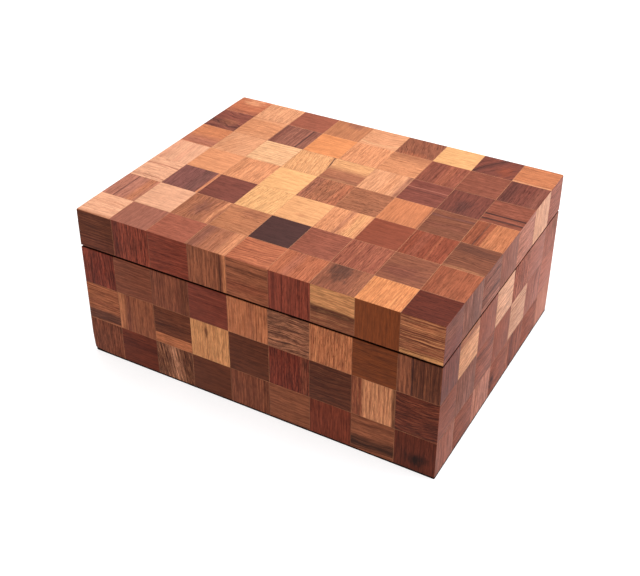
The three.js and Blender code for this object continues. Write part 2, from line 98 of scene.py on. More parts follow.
# ------------------------------------------------------------------ a small node-graph writer
class Graph:
    """Writes a material's node graph. Values are numbers, tuples or sockets."""

    def __init__(self, name):
        self.mat = bpy.data.materials.new(name)
        self.mat.use_nodes = True
        self.nt = self.mat.node_tree
        self.nt.nodes.clear()
        self.out = self.nt.nodes.new("ShaderNodeOutputMaterial")

    def put(self, socket, value):
        if hasattr(value, "is_output"):
            self.nt.links.new(value, socket)
        elif value is not None:
            if socket.type == "RGBA" and len(value) == 3:
                value = (*value, 1.0)
            socket.default_value = value

    def node(self, kind, **inputs):
        n = self.nt.nodes.new(kind)
        for k, v in inputs.items():
            self.put(n.inputs[k], v)
        return n

    def math(self, op, a, b=0.0, c=0.0, clamp=False):
        n = self.nt.nodes.new("ShaderNodeMath")
        n.operation = op
        n.use_clamp = clamp
        for i, v in enumerate((a, b, c)):
            self.put(n.inputs[i], v)
        return n.outputs[0]

    def add(self, a, b):
        return self.math("ADD", a, b)

    def sub(self, a, b):
        return self.math("SUBTRACT", a, b)

    def mul(self, a, b, clamp=False):
        return self.math("MULTIPLY", a, b, clamp=clamp)

    def madd(self, a, b, c):
        return self.math("MULTIPLY_ADD", a, b, c)

    def vec(self, x, y, z):
        n = self.nt.nodes.new("ShaderNodeCombineXYZ")
        for i, v in enumerate((x, y, z)):
            self.put(n.inputs[i], v)
        return n.outputs[0]

    def split(self, v):
        n = self.nt.nodes.new("ShaderNodeSeparateXYZ")
        self.put(n.inputs[0], v)
        return n.outputs[0], n.outputs[1], n.outputs[2]

    def vmath(self, op, a, b=(0, 0, 0), scale=1.0):
        n = self.nt.nodes.new("ShaderNodeVectorMath")
        n.operation = op
        self.put(n.inputs[0], a)
        self.put(n.inputs[1], b)
        if op == "SCALE":
            self.put(n.inputs["Scale"], scale)
        return n.outputs["Value"] if op in ("LENGTH", "DISTANCE", "DOT_PRODUCT") else n.outputs[0]

    def noise(self, vector, scale=1.0, detail=0.0, rough=0.5, distortion=0.0):
        n = self.nt.nodes.new("ShaderNodeTexNoise")
        n.noise_dimensions = "3D"
        self.put(n.inputs["Vector"], vector)
        self.put(n.inputs["Scale"], scale)
        self.put(n.inputs["Detail"], detail)
        self.put(n.inputs["Roughness"], rough)
        self.put(n.inputs["Distortion"], distortion)
        return n.outputs[0]

    def noise1(self, w, scale=1.0, detail=0.0, rough=0.5):
        n = self.nt.nodes.new("ShaderNodeTexNoise")
        n.noise_dimensions = "1D"
        self.put(n.inputs["W"], w)
        self.put(n.inputs["Scale"], scale)
        self.put(n.inputs["Detail"], detail)
        self.put(n.inputs["Roughness"], rough)
        return n.outputs[0]

    def voronoi(self, vector, scale=1.0, feature="F1", out="Distance", randomness=1.0):
        n = self.nt.nodes.new("ShaderNodeTexVoronoi")
        n.feature = feature
        self.put(n.inputs["Vector"], vector)
        self.put(n.inputs["Scale"], scale)
        self.put(n.inputs["Randomness"], randomness)
        return n.outputs[out]

    def step(self, v, a, b, lo=0.0, hi=1.0, smooth=True):
        n = self.nt.nodes.new("ShaderNodeMapRange")
        n.interpolation_type = "SMOOTHSTEP" if smooth else "LINEAR"
        for i, x in enumerate((v, a, b, lo, hi)):
            self.put(n.inputs[i], x)
        return n.outputs[0]

    def mix(self, fac, a, b, mode="MIX"):
        n = self.nt.nodes.new("ShaderNodeMix")
        n.data_type = "RGBA"
        n.blend_type = mode
        n.clamp_factor = True
        self.put(n.inputs[0], fac)
        self.put(n.inputs[6], a)
        self.put(n.inputs[7], b)
        return n.outputs[2]

    def mixf(self, fac, a, b):
        n = self.nt.nodes.new("ShaderNodeMix")
        n.data_type = "FLOAT"
        self.put(n.inputs[0], fac)
        self.put(n.inputs[2], a)
        self.put(n.inputs[3], b)
        return n.outputs[0]

    def scale_colour(self, colour, factor):
        return self.vmath("SCALE", colour, scale=factor)

    def attr(self, name, alpha=False):
        n = self.nt.nodes.new("ShaderNodeAttribute")
        n.attribute_name = name
        return (n.outputs["Vector"], n.outputs["Alpha"]) if alpha else n.outputs["Vector"]

    def object_mm(self):
        n = self.nt.nodes.new("ShaderNodeTexCoord")
        return self.vmath("SCALE", n.outputs["Object"], scale=1000.0)

    def bump(self, height, distance_mm, strength=1.0, normal=None):
        n = self.nt.nodes.new("ShaderNodeBump")
        self.put(n.inputs["Height"], height)
        n.inputs["Distance"].default_value = distance_mm * MM
        n.inputs["Strength"].default_value = strength
        if normal is not None:
            self.put(n.inputs["Normal"], normal)
        return n.outputs[0]

    def principled(self, **inputs):
        names = {
            "colour": "Base Color", "rough": "Roughness", "metal": "Metallic", "normal": "Normal", "ior": "IOR",
            "spec": "Specular IOR Level", "coat": "Coat Weight", "coat_rough": "Coat Roughness", "sheen": "Sheen Weight",
            "sheen_rough": "Sheen Roughness", "sheen_tint": "Sheen Tint", "transmission": "Transmission Weight",
            "aniso": "Anisotropic", "alpha": "Alpha", "sss": "Subsurface Weight",
        }
        p = self.nt.nodes.new("ShaderNodeBsdfPrincipled")
        for k, v in inputs.items():
            self.put(p.inputs[names[k]], v)
        self.nt.links.new(p.outputs[0], self.out.inputs[0])
        return self.mat


# ------------------------------------------------------------------ wood, as one graph
def wood_tone(g, uvw, seed, off, cath, freq, wave, tilt, arc, per, contrast, fleck, pore):
    """Returns (signed tone, fibre, pores, warped v, ring noise) from grain coordinates in mm: u along, v across."""
    u, v, w = g.split(uvw)
    shift = g.vec(g.mul(seed, 13.1), g.mul(seed, 7.7), g.mul(seed, 3.3))
    p = g.vmath("ADD", uvw, shift)
    n1 = g.noise(g.vmath("MULTIPLY", p, (0.020, 0.042, 0.03)), detail=1.0)
    n2 = g.noise(g.vmath("MULTIPLY", p, (0.075, 0.13, 0.1)), detail=1.5)
    bend = g.add(g.mul(g.sub(n1, 0.5), 2.6), g.mul(g.sub(n2, 0.5), 0.8))
    vv = g.madd(bend, wave, v)
    vv = g.madd(tilt, u, vv)
    vv = g.madd(arc, g.mul(u, u), vv)
    a = g.add(vv, off)
    b = g.mul(cath, g.add(u, 19.0))
    r = g.math("SQRT", g.add(g.mul(a, a), g.mul(b, b)))
    rr = g.madd(r, freq, g.mul(seed, 5.3))
    wide = g.noise1(rr, detail=1.5, rough=0.55)
    x = g.math("FRACT", g.madd(wide, 1.3, rr))
    ring = g.sub(g.step(x, 0.0, 0.78), g.step(x, 0.84, 1.0))
    narrow = g.noise1(g.mul(rr, 3.0), detail=2.5, rough=0.62)
    irregular = g.step(wide, 0.30, 0.70)
    t = g.mul(g.sub(g.mixf(per, irregular, ring), 0.46), 0.75)
    crisp = g.step(narrow, 0.36, 0.64)
    t = g.madd(g.sub(crisp, 0.5), 0.85, t)
    tone = g.mul(g.mul(t, contrast), 1.7)
    q = g.vmath("ADD", g.vec(u, vv, w), shift)
    streak = g.noise(g.vmath("MULTIPLY", q, (0.055, 0.72, 0.72)), detail=4.0, rough=0.8)
    tone = g.madd(g.sub(g.step(streak, 0.34, 0.66), 0.5), g.mul(fleck, 5.0), tone)
    fibre = g.noise(g.vmath("MULTIPLY", q, (0.085, 1.08, 1.08)), detail=2.0, rough=0.9)
    dots = g.noise(g.vmath("MULTIPLY", q, (0.21, 1.75, 1.75)), detail=2.0, rough=0.7)
    pores = g.mul(g.step(dots, 0.56, 0.66), pore)
    shimmer = g.noise(g.vmath("MULTIPLY", p, (0.21, 0.07, 0.1)), detail=2.0, rough=0.5)
    light = g.add(g.mul(g.mul(g.sub(g.step(fibre, 0.34, 0.66), 0.5), 3.0), fleck), g.mul(g.sub(shimmer, 0.5), 0.24))
    return tone, g.add(light, 1.0), pores, vv, narrow


ALBEDO = 0.64


def patchwork_material():
    g = Graph("patchwork_wood")
    uvw = g.attr("grain")
    seed, off, cath = g.split(g.attr("shape"))
    base, pore = g.attr("c_base", True)
    dark, contrast = g.attr("c_dark", True)
    pale, fleck = g.attr("c_pale", True)
    band_c, band_s = g.attr("c_band", True)
    band2_c, band2_s = g.attr("c_band2", True)
    spot_c, spot_s = g.attr("c_spot", True)
    ring, per = g.attr("g_ring", True)
    freq, wave, tilt = g.split(ring)
    b1, arc = g.attr("g_band", True)
    b1c, b1h, b1s = g.split(b1)
    b2, gloss = g.attr("g_band2", True)
    b2c, b2h, b2s = g.split(b2)
    sp, stretch = g.attr("g_spot", True)
    su, sv, sr = g.split(sp)

    tone, light, pores, vv, narrow = wood_tone(g, uvw, seed, off, cath, freq, wave, tilt, arc, per, contrast, fleck, pore)
    u, v, w = g.split(uvw)

    def band(c, h, s, strength):
        d = g.math("ABSOLUTE", g.sub(g.madd(g.sub(narrow, 0.5), g.mul(s, 0.8), vv), c))
        return g.mul(g.step(d, g.add(h, s), g.math("MAXIMUM", g.sub(h, s), 0.0)), strength)

    ground = g.mix(band(b1c, b1h, b1s, band_s), base, band_c)
    ground = g.mix(band(b2c, b2h, b2s, band2_s), ground, band2_c)
    wob = g.noise(g.vmath("MULTIPLY", g.vmath("ADD", uvw, g.vec(g.mul(seed, 9.1), seed, 0.0)), (0.16, 0.3, 0.2)), detail=2.5, rough=0.6)
    du = g.math("DIVIDE", g.sub(u, su), stretch)
    dv = g.sub(v, sv)
    d = g.math("SQRT", g.add(g.mul(du, du), g.mul(dv, dv)))
    d = g.madd(g.sub(wob, 0.5), g.mul(sr, 1.5), d)
    ground = g.mix(g.mul(g.step(d, sr, g.mul(sr, 0.15)), spot_s), ground, spot_c)
    # growth rings: late wood darker, early wood paler, both in the ground's own hue
    darker = g.mix(0.55, dark, g.vmath("MULTIPLY", ground, (0.44, 0.30, 0.25)))
    paler = g.mix(0.5, pale, g.vmath("MULTIPLY", ground, (1.45, 1.5, 1.55)))
    col = g.mix(tone, ground, darker)
    col = g.mix(g.mul(tone, -0.9), col, paler)
    col = g.mix(g.mul(pores, 1.1), col, g.vmath("MULTIPLY", darker, (0.6, 0.55, 0.55)))
    col = g.scale_colour(col, light)
    # painted shade: the tile edges round the rims and the foot, and the tile walls, are darkened almost to black below
    # about 0.1 to 0.4 mm of depth, standing in for the shadow in the seam under the lid and at the foot
    col = g.mix(g.step(w, 0.08, 0.42), col, g.vmath("MULTIPLY", col, (0.13, 0.085, 0.07)))
    rough = g.add(g.madd(narrow, 0.10, gloss), g.mul(pores, 0.2))
    height = g.sub(g.mul(light, 0.6), pores)
    return g.principled(colour=col, rough=rough, spec=0.10, normal=g.bump(height, 0.035, 0.55))


# ------------------------------------------------------------------ the palette of woods, named by look
PALETTE = {
    "honey": (244, 180, 121), "cream": (244, 186, 138), "peach": (237, 165, 121), "salmon": (226, 154, 122),
    "apricot": (228, 151, 106), "tangerine": (213, 131, 88), "tan": (200, 127, 87), "hazel": (178, 110, 78),
    "amber": (192, 110, 76), "russet": (166, 92, 70), "brick": (152, 76, 53), "rust": (162, 88, 44),
    "cocoa": (156, 92, 67), "mauve": (162, 99, 80), "rosewood": (132, 70, 57), "purple": (120, 72, 65),
    "plum": (84, 50, 46), "mahogany": (116, 50, 35), "maroon": (148, 69, 50), "crimson": (158, 79, 58),
    "chocolate": (122, 68, 45), "umber": (104, 56, 37), "walnut": (138, 90, 68), "olive": (146, 98, 68),
    "grey": (158, 116, 96), "charcoal": (78, 53, 46), "pinkbrown": (196, 126, 103), "rose": (180, 110, 91),
    "blush": (206, 132, 103), "mango": (240, 152, 96), "straw": (240, 172, 118), "sand": (236, 172, 136),
    "soot": (44, 24, 18), "glue": (212, 148, 108), "glue_dark": (96, 50, 34),
}

#            freq  contrast wave  per  fleck pore
FIGURES = {
    "smooth":  (0.22, 0.10, 0.6, 0.0, 0.10, 0.15),
    "plain":   (0.30, 0.18, 0.9, 0.0, 0.13, 0.25),
    "fine":    (0.75, 0.26, 0.5, 0.2, 0.16, 0.30),
    "lines":   (0.42, 0.40, 0.9, 0.4, 0.14, 0.30),
    "stripes": (0.30, 0.58, 0.4, 0.1, 0.15, 0.35),
    "strong":  (0.33, 0.85, 0.6, 0.2, 0.16, 0.40),
    "waves":   (0.40, 0.55, 1.8, 0.75, 0.12, 0.25),
    "wavy":    (0.42, 0.42, 2.8, 0.35, 0.14, 0.30),
    "arcs":    (0.38, 0.42, 1.2, 0.65, 0.12, 0.25),
    "figure":  (0.26, 0.60, 4.5, 0.1, 0.16, 0.35),
    "swirl":   (0.20, 0.75, 8.0, 0.0, 0.18, 0.30),
    "flecks":  (1.05, 0.36, 1.2, 0.0, 0.26, 0.70),
}


def W(wood, grain, fig="plain", c=1.0, f=1.0, w=1.0, tilt=0.0, arc=0.0, cath=0.0, bands=(), spot=None, dark=None, pale=None, pore=None, light=1.0):
    """One tile: wood, grain direction (H along the row, V up it), figure, and what stands out on it.
    bands: (place across the grain, half width, softness, wood, strength), in tiles; spot: (along, across, radius mm, wood, strength, stretch)."""
    return dict(wood=wood, grain=grain, fig=fig, c=c, f=f, w=w, tilt=tilt, arc=arc, cath=cath, bands=bands, spot=spot, dark=dark, pale=pale, pore=pore, light=light)


# top of the lid, back row first, left to right
TOP = [
    [
        W("amber", "H", "wavy", c=0.9, light=1.14, dark="cocoa", pale="peach", bands=[(-0.40, 0.12, 0.15, "rosewood", 0.5)], spot=(0.5, 7, 8, "peach", 0.7, 1.6)),
        W("peach", "V", "wavy", c=0.6, w=0.6, light=0.96),
        W("russet", "H", "smooth", c=1.3),
        W("tan", "V", "smooth", c=1.0, w=2.0, light=0.98, dark="cocoa", spot=(9, 2, 11, "mauve", 0.7, 0.6)),
        W("peach", "H", "arcs", arc=-0.010, c=1.0, light=0.99, dark="tan", bands=[(-0.36, 0.04, 0.03, "cream", 0.6)]),
        W("cocoa", "V", "fine", c=0.8, f=1.6, tilt=0.3, light=0.99, dark="rosewood", pore=0.5, bands=[(0.1, 0.1, 0.1, "rosewood", 0.2)], spot=(-13, 0, 13, "amber", 0.8, 0.6)),
        W("honey", "H", "smooth", c=0.6, light=1.02),
        W("rosewood", "V", "figure", tilt=-0.7, c=0.85, light=1.05, dark="plum", pale="brick", bands=[(-0.18, 0.1, 0.06, "plum", 0.6)], spot=(-4, 7, 9, "brick", 0.9, 1.2)),
        W("tangerine", "H", "wavy", c=1.2, light=1.0, bands=[(-0.46, 0.05, 0.03, "peach", 0.7)]),
    ],
    [
        W("rosewood", "H", "swirl", c=0.75, w=1.2, light=1.22, dark="plum", pale="hazel", bands=[(-0.3, 0.1, 0.12, "plum", 0.5)], spot=(2, -3, 8, "hazel", 0.55, 1.5)),
        W("apricot", "H", "arcs", arc=0.008, c=0.5, light=0.92, bands=[(0.45, 0.06, 0.05, "peach", 0.8), (-0.42, 0.1, 0.1, "peach", 0.4)]),
        W("mauve", "V", "stripes", c=0.8, light=0.92, dark="purple", pale="pinkbrown", bands=[(0.27, 0.022, 0.015, "plum", 0.9), (-0.38, 0.06, 0.06, "rosewood", 0.7)]),
        W("mango", "H", "smooth", c=0.4, light=0.97),
        W("apricot", "V", "fine", c=0.7, w=1.4, light=1.06, pale="peach"),
        W("apricot", "H", "lines", c=0.7, light=0.98, bands=[(0.46, 0.2, 0.25, "hazel", 0.75)]),
        W("russet", "V", "stripes", c=0.7, light=0.94, bands=[(-0.22, 0.16, 0.15, "rosewood", 0.55), (0.12, 0.1, 0.12, "amber", 0.35)]),
        W("russet", "H", "plain", c=1.1, light=0.82),
        W("rosewood", "V", "stripes", c=0.5, light=0.98, bands=[(-0.34, 0.12, 0.14, "plum", 0.5), (0.35, 0.12, 0.12, "mauve", 0.5)]),
    ],
    [
        W("tangerine", "H", "lines", c=0.7, bands=[(-0.34, 0.2, 0.28, "rose", 0.8)]),
        W("peach", "V", "lines", tilt=-0.5, c=0.4, f=0.6, light=0.92, dark="tan", spot=(-6, -5, 10, "tan", 0.35, 1.5)),
        W("cream", "H", "waves", c=0.75, f=0.85, w=0.9, dark="tan"),
        W("straw", "V", "stripes", tilt=0.16, c=0.4, f=0.8, light=0.98, dark="tan", pale="peach", bands=[(0.485, 0.02, 0.012, "plum", 0.9)]),
        W("straw", "H", "lines", c=0.5, light=0.96, dark="tan", bands=[(-0.22, 0.28, 0.18, "russet", 0.85), (-0.46, 0.14, 0.12, "rosewood", 0.5)]),
        W("peach", "V", "lines", c=0.35, pore=0.2, light=0.98, bands=[(0.46, 0.05, 0.07, "mauve", 0.8), (0.15, 0.08, 0.12, "apricot", 0.6)]),
        W("rosewood", "H", "lines", c=0.8, light=1.18, bands=[(0.15, 0.02, 0.015, "rose", 0.8), (0.02, 0.02, 0.02, "plum", 0.5)]),
        W("rosewood", "V", "lines", c=0.6, light=0.98, dark="plum", pale="russet", spot=(-4, -1, 8, "plum", 0.6, 1.8)),
        W("russet", "H", "stripes", c=0.8, light=0.86, bands=[(-0.13, 0.032, 0.015, "plum", 0.95), (-0.34, 0.03, 0.015, "plum", 0.95)]),
    ],
    [
        W("sand", "V", "smooth", c=0.5, tilt=0.06, light=1.0, bands=[(-0.4, 0.1, 0.15, "salmon", 0.6), (0.1, 0.05, 0.1, "salmon", 0.5)]),
        W("apricot", "H", "smooth", c=0.9, light=1.03),
        W("apricot", "V", "fine", c=0.6, light=1.0),
        W("honey", "H", "smooth", c=0.5, light=1.05),
        W("hazel", "V", "flecks", c=0.35, light=1.08, dark="rosewood", pale="amber", bands=[(0.4, 0.12, 0.12, "amber", 0.55), (-0.4, 0.12, 0.15, "mauve", 0.6)]),
        W("hazel", "H", "fine", c=0.6, light=0.96, pore=0.5),
        W("tangerine", "V", "smooth", c=0.8, light=1.03, bands=[(0.475, 0.02, 0.012, "cocoa", 0.9)]),
        W("cocoa", "H", "wavy", c=1.0, light=0.88, bands=[(0.27, 0.035, 0.03, "purple", 0.85), (-0.1, 0.12, 0.12, "rosewood", 0.4)]),
        W("tangerine", "V", "lines", c=0.7, light=0.95, bands=[(-0.27, 0.23, 0.03, "brick", 0.85), (-0.20, 0.02, 0.012, "plum", 0.8)]),
    ],
    [
        W("sand", "H", "lines", c=0.3, arc=0.006, light=1.02, bands=[(0.22, 0.02, 0.012, "russet", 0.6), (-0.36, 0.02, 0.012, "russet", 0.5)]),
        W("purple", "V", "lines", c=0.7, light=1.42, pale="mauve", dark="plum", bands=[(0.46, 0.035, 0.02, "tan", 0.85), (0.22, 0.12, 0.12, "charcoal", 0.4)]),
        W("rosewood", "H", "plain", c=0.9, light=1.02, dark="plum"),
        W("honey", "V", "wavy", tilt=-0.1, c=0.25, f=1.2, w=0.8),
        W("straw", "H", "smooth", c=0.6, light=1.03, spot=(2, -6, 2.6, "tan", 0.45, 2.4)),
        W("apricot", "V", "stripes", c=0.3, light=1.03, bands=[(0.0, 0.05, 0.05, "mauve", 0.5), (0.3, 0.12, 0.12, "honey", 0.55)]),
        W("brick", "H", "smooth", c=0.9, light=1.0),
        W("brick", "V", "strong", c=0.25, light=1.06, bands=[(0.12, 0.03, 0.03, "amber", 0.5), (-0.2, 0.1, 0.05, "russet", 0.5)]),
        W("cocoa", "H", "waves", f=0.9, c=0.9, w=2.4, dark="plum", pale="hazel", light=0.82, bands=[(0.3, 0.16, 0.12, "plum", 0.45), (-0.45, 0.04, 0.03, "apricot", 0.7)]),
    ],
    [
        W("pinkbrown", "V", "stripes", c=0.3, bands=[(-0.14, 0.018, 0.012, "purple", 0.85), (0.32, 0.12, 0.1, "tangerine", 0.7)], light=0.92),
        W("sand", "H", "smooth", c=0.3, light=1.01),
        W("hazel", "V", "figure", c=0.55, light=1.0, pale="blush", bands=[(0.38, 0.06, 0.04, "apricot", 0.8)], spot=(1, -1, 8, "purple", 0.6, 2.2)),
        W("tan", "H", "wavy", c=1.2, f=1.3, w=1.5, dark="cocoa", pale="peach", spot=(5, 9, 9, "cocoa", 0.6, 1.6), light=0.96),
        W("plum", "H", "smooth", c=0.6, light=0.96),
        W("russet", "H", "lines", c=0.8, light=0.94),
        W("russet", "V", "strong", c=0.5, f=1.2, pale="apricot", dark="rosewood", light=1.0),
        W("cocoa", "H", "wavy", c=1.2, w=1.3, light=0.92, dark="rosewood", pale="amber", spot=(-3, -4, 9, "rosewood", 0.65, 2.0)),
        W("amber", "V", "lines", c=0.4, light=0.90, bands=[(-0.32, 0.15, 0.15, "brick", 0.6), (0.2, 0.3, 0.2, "brick", 0.35)]),
    ],
    [
        W("sand", "H", "waves", c=0.75, f=0.8, w=0.7, dark="tan", pale="cream", light=1.06, bands=[(-0.47, 0.035, 0.02, "hazel", 0.7)]),
        W("mauve", "V", "smooth", c=0.9, light=1.06),
        W("russet", "H", "plain", c=0.8, light=1.05),
        W("hazel", "V", "stripes", c=0.6, f=1.2, light=1.04, dark="cocoa", pale="pinkbrown", bands=[(-0.36, 0.14, 0.14, "purple", 0.6), (0.38, 0.13, 0.1, "apricot", 0.75)]),
        W("amber", "H", "waves", c=1.4, w=2.6, f=1.1, dark="rosewood", pale="tangerine", light=1.04),
        W("amber", "V", "lines", c=0.5, pore=0.35, light=1.0, bands=[(-0.1, 0.1, 0.1, "rose", 0.4)]),
        W("cocoa", "V", "fine", c=0.6, light=1.02, spot=(9, -3.5, 12, "charcoal", 0.75, 1.5), bands=[(0.40, 0.1, 0.1, "hazel", 0.6)]),
        W("mango", "V", "fine", c=1.1, pale="honey", dark="tan", light=0.92),
        W("mahogany", "H", "lines", c=0.8, light=0.86),
    ],
]

# front, top row (the lid) first, left to right
LID_FRONT = [
    W("chocolate", "H", "lines", c=1.1, f=0.8, dark="umber", pale="hazel", light=0.98, bands=[(-0.34, 0.14, 0.2, "rosewood", 0.35)]),
    W("crimson", "V", "flecks", c=1.0, f=1.3, light=0.98, dark="mahogany", pale="russet", bands=[(-0.40, 0.07, 0.06, "mahogany", 0.7)]),
    W("crimson", "H", "fine", c=1.3, f=1.1, light=0.92, dark="mahogany", pale="russet"),
    W("hazel", "V", "stripes", c=0.8, f=1.3, w=2.0, dark="umber", pale="tan", light=0.90, bands=[(0.33, 0.05, 0.04, "umber", 0.6), (0.455, 0.035, 0.015, "apricot", 0.95)]),
    W("hazel", "H", "lines", c=1.2, f=0.8, dark="umber", light=0.98, bands=[(0.27, 0.035, 0.03, "umber", 0.7), (-0.2, 0.12, 0.15, "brick", 0.5)]),
    W("crimson", "V", "stripes", c=1.1, f=2.6, light=1.04, dark="mahogany", pale="russet", pore=0.5, bands=[(-0.38, 0.03, 0.03, "mahogany", 0.6)]),
    W("straw", "H", "wavy", c=0.5, f=0.9, light=0.85, dark="hazel", bands=[(-0.30, 0.31, 0.03, "cocoa", 0.92), (-0.06, 0.09, 0.06, "umber", 0.85)]),
    W("rust", "V", "smooth", c=0.6, light=0.80),
    W("hazel", "H", "strong", c=1.1, w=2.4, f=1.5, dark="umber", pale="honey", light=0.93, bands=[(-0.44, 0.06, 0.03, "honey", 0.8), (0.28, 0.08, 0.1, "apricot", 0.6)]),
]
BASE_FRONT = [
    [
        W("maroon", "V", "flecks", c=0.9, f=1.3, light=0.90, dark="mahogany", pale="russet", bands=[(-0.22, 0.04, 0.04, "mahogany", 0.6), (0.4, 0.05, 0.05, "mahogany", 0.5)]),
        W("cocoa", "H", "waves", c=0.8, f=0.9, light=0.92),
        W("cocoa", "V", "stripes", c=0.55, f=1.1, light=0.90, pale="tan", bands=[(0.40, 0.09, 0.07, "umber", 0.6)]),
        W("crimson", "H", "plain", c=1.3, light=0.80, dark="mahogany", pale="russet"),
        W("tan", "V", "lines", c=0.9, f=1.2, pale="peach", light=1.06, bands=[(0.1, 0.06, 0.08, "hazel", 0.6)]),
        W("walnut", "H", "flecks", c=1.25, w=3.2, f=2.2, dark="umber", pale="peach", pore=0.6, light=1.30),
        W("tan", "V", "fine", c=1.9, f=0.9, pore=0.7, dark="cocoa", pale="straw", tilt=-0.05, light=1.08),
        W("rust", "H", "lines", c=0.5, f=0.7, light=0.68, dark="umber"),
        W("chocolate", "V", "stripes", c=0.9, f=1.5, dark="umber", pale="tan", bands=[(-0.34, 0.16, 0.02, "hazel", 0.9), (-0.16, 0.02, 0.015, "plum", 0.8)], light=0.84),
    ],
    [
        W("hazel", "H", "lines", c=1.0, f=0.9, w=1.5, pale="apricot", dark="umber", light=1.10, bands=[(0.02, 0.04, 0.05, "cocoa", 0.7), (-0.33, 0.14, 0.05, "plum", 0.75)]),
        W("hazel", "V", "lines", c=1.0, f=1.1, dark="rosewood", light=0.86, bands=[(-0.44, 0.10, 0.04, "apricot", 0.9), (-0.22, 0.03, 0.05, "rosewood", 0.7)]),
        W("chocolate", "H", "stripes", c=0.9, f=0.9, dark="umber", pale="hazel", light=1.12, bands=[(-0.37, 0.15, 0.02, "tan", 0.97), (0.12, 0.07, 0.1, "umber", 0.5)]),
        W("straw", "V", "lines", c=0.5, f=0.9, dark="tan", pore=0.4, light=0.87, spot=(7, -2.5, 1.8, "umber", 0.8, 4.0)),
        W("chocolate", "H", "lines", c=1.0, f=0.8, light=0.94, dark="umber"),
        W("maroon", "V", "flecks", c=0.9, f=1.5, light=0.80, dark="mahogany", pale="russet", bands=[(0.38, 0.10, 0.06, "cocoa", 0.7)]),
        W("chocolate", "H", "wavy", c=0.7, f=0.9, light=0.74, dark="mahogany", pale="hazel"),
        W("peach", "V", "fine", c=1.2, f=0.9, dark="cocoa", pale="straw", light=0.86, bands=[(-0.40, 0.15, 0.03, "brick", 0.9), (0.47, 0.04, 0.03, "umber", 0.8)]),
        W("brick", "H", "flecks", c=0.9, f=1.0, w=3.0, dark="umber", pale="hazel", pore=0.5, light=0.58),
    ],
    [
        W("cocoa", "V", "flecks", c=0.7, f=1.2, light=0.88),
        W("brick", "H", "lines", c=0.9, f=0.9, pale="brick", dark="umber", light=0.70, bands=[(0.14, 0.12, 0.08, "mahogany", 0.6)]),
        W("walnut", "V", "flecks", c=1.2, f=1.5, tilt=0.15, dark="umber", pale="peach", light=1.06, bands=[(0.37, 0.09, 0.06, "umber", 0.7), (0.03, 0.12, 0.14, "sand", 0.6)], spot=(0, -10, 8, "umber", 0.8, 1.9)),
        W("chocolate", "H", "smooth", c=1.8, light=1.04),
        W("cocoa", "V", "stripes", c=0.6, f=1.2, light=0.88, pale="tan", bands=[(0.42, 0.06, 0.05, "chocolate", 0.6)]),
        W("hazel", "H", "plain", c=1.4, light=0.80),
        W("brick", "V", "fine", c=1.0, f=0.8, light=0.90),
        W("hazel", "H", "wavy", c=1.0, f=1.0, w=1.6, dark="umber", light=0.88, bands=[(-0.24, 0.18, 0.12, "soot", 0.85), (0.36, 0.1, 0.1, "chocolate", 0.4)]),
        W("brick", "V", "lines", c=0.9, f=0.9, dark="umber", light=0.54, spot=(-5, 1, 10, "soot", 0.95, 0.7)),
    ],
]

# right side, top row first, front corner to back corner
LID_RIGHT = [
    W("rosewood", "H", "lines", c=0.6, f=0.8, light=0.92, dark="plum", bands=[(0.2, 0.2, 0.2, "cocoa", 0.5)]),
    W("mauve", "V", "stripes", c=0.6, f=1.2, light=0.76, pale="pinkbrown", bands=[(0.15, 0.14, 0.14, "plum", 0.3)]),
    W("mauve", "H", "stripes", c=0.8, f=1.0, light=0.82, dark="plum", bands=[(-0.18, 0.05, 0.04, "plum", 0.7), (-0.42, 0.06, 0.03, "pinkbrown", 0.8)]),
    W("mauve", "V", "plain", c=1.3, light=0.92, dark="purple"),
    W("pinkbrown", "H", "lines", c=0.5, f=0.9, light=0.96),
    W("sand", "V", "lines", c=0.5, f=0.9, light=0.94, dark="blush"),
    W("rose", "H", "lines", c=0.6, f=0.9, light=0.92),
]
BASE_RIGHT = [
    [
        W("rosewood", "V", "wavy", c=0.9, f=0.9, light=0.84, pale="russet", dark="plum"),
        W("peach", "H", "lines", c=0.45, f=0.9, light=0.79, dark="tan", bands=[(0.42, 0.12, 0.08, "russet", 0.8)]),
        W("russet", "V", "lines", c=0.9, f=0.9, light=0.86, dark="purple"),
        W("sand", "H", "lines", c=0.2, light=0.90),
        W("russet", "V", "flecks", c=0.6, f=1.2, light=1.02, pale="pinkbrown"),
        W("rose", "H", "smooth", c=1.2, light=0.97),
        W("rose", "V", "figure", c=0.6, light=0.90, spot=(7, 6, 8, "walnut", 0.7, 1.3)),
    ],
    [
        W("russet", "H", "plain", c=1.2, light=0.72, dark="plum"),
        W("mauve", "V", "stripes", c=0.7, f=1.2, light=0.76, dark="plum"),
        W("russet", "H", "wavy", c=1.0, f=0.9, light=0.86, dark="plum", bands=[(0.3, 0.05, 0.06, "plum", 0.7)]),
        W("russet", "V", "lines", c=0.7, light=0.84, dark="purple"),
        W("sand", "H", "waves", c=1.1, f=0.8, light=0.80, dark="rose"),
        W("rose", "V", "figure", c=0.7, f=1.3, light=0.84, dark="purple"),
        W("rose", "H", "smooth", c=1.2, light=1.06),
    ],
    [
        W("mauve", "V", "plain", c=1.3, light=0.95, bands=[(0.0, 0.3, 0.2, "russet", 0.4)]),
        W("russet", "H", "lines", c=0.9, f=0.9, light=0.76, dark="plum"),
        W("pinkbrown", "V", "stripes", c=0.7, f=1.1, light=0.88, bands=[(-0.3, 0.08, 0.08, "hazel", 0.4)]),
        W("russet", "H", "wavy", c=0.9, f=0.9, light=0.82, spot=(-10.5, -2.5, 8, "plum", 0.95, 0.9)),
        W("russet", "V", "stripes", c=0.9, f=1.1, light=0.86, dark="plum", bands=[(-0.18, 0.1, 0.04, "purple", 0.75), (-0.42, 0.04, 0.03, "pinkbrown", 0.8)]),
        W("russet", "H", "lines", c=0.9, f=0.9, light=0.88, dark="purple"),
        W("pinkbrown", "V", "smooth", c=1.0, light=0.98, dark="russet"),
    ],
]


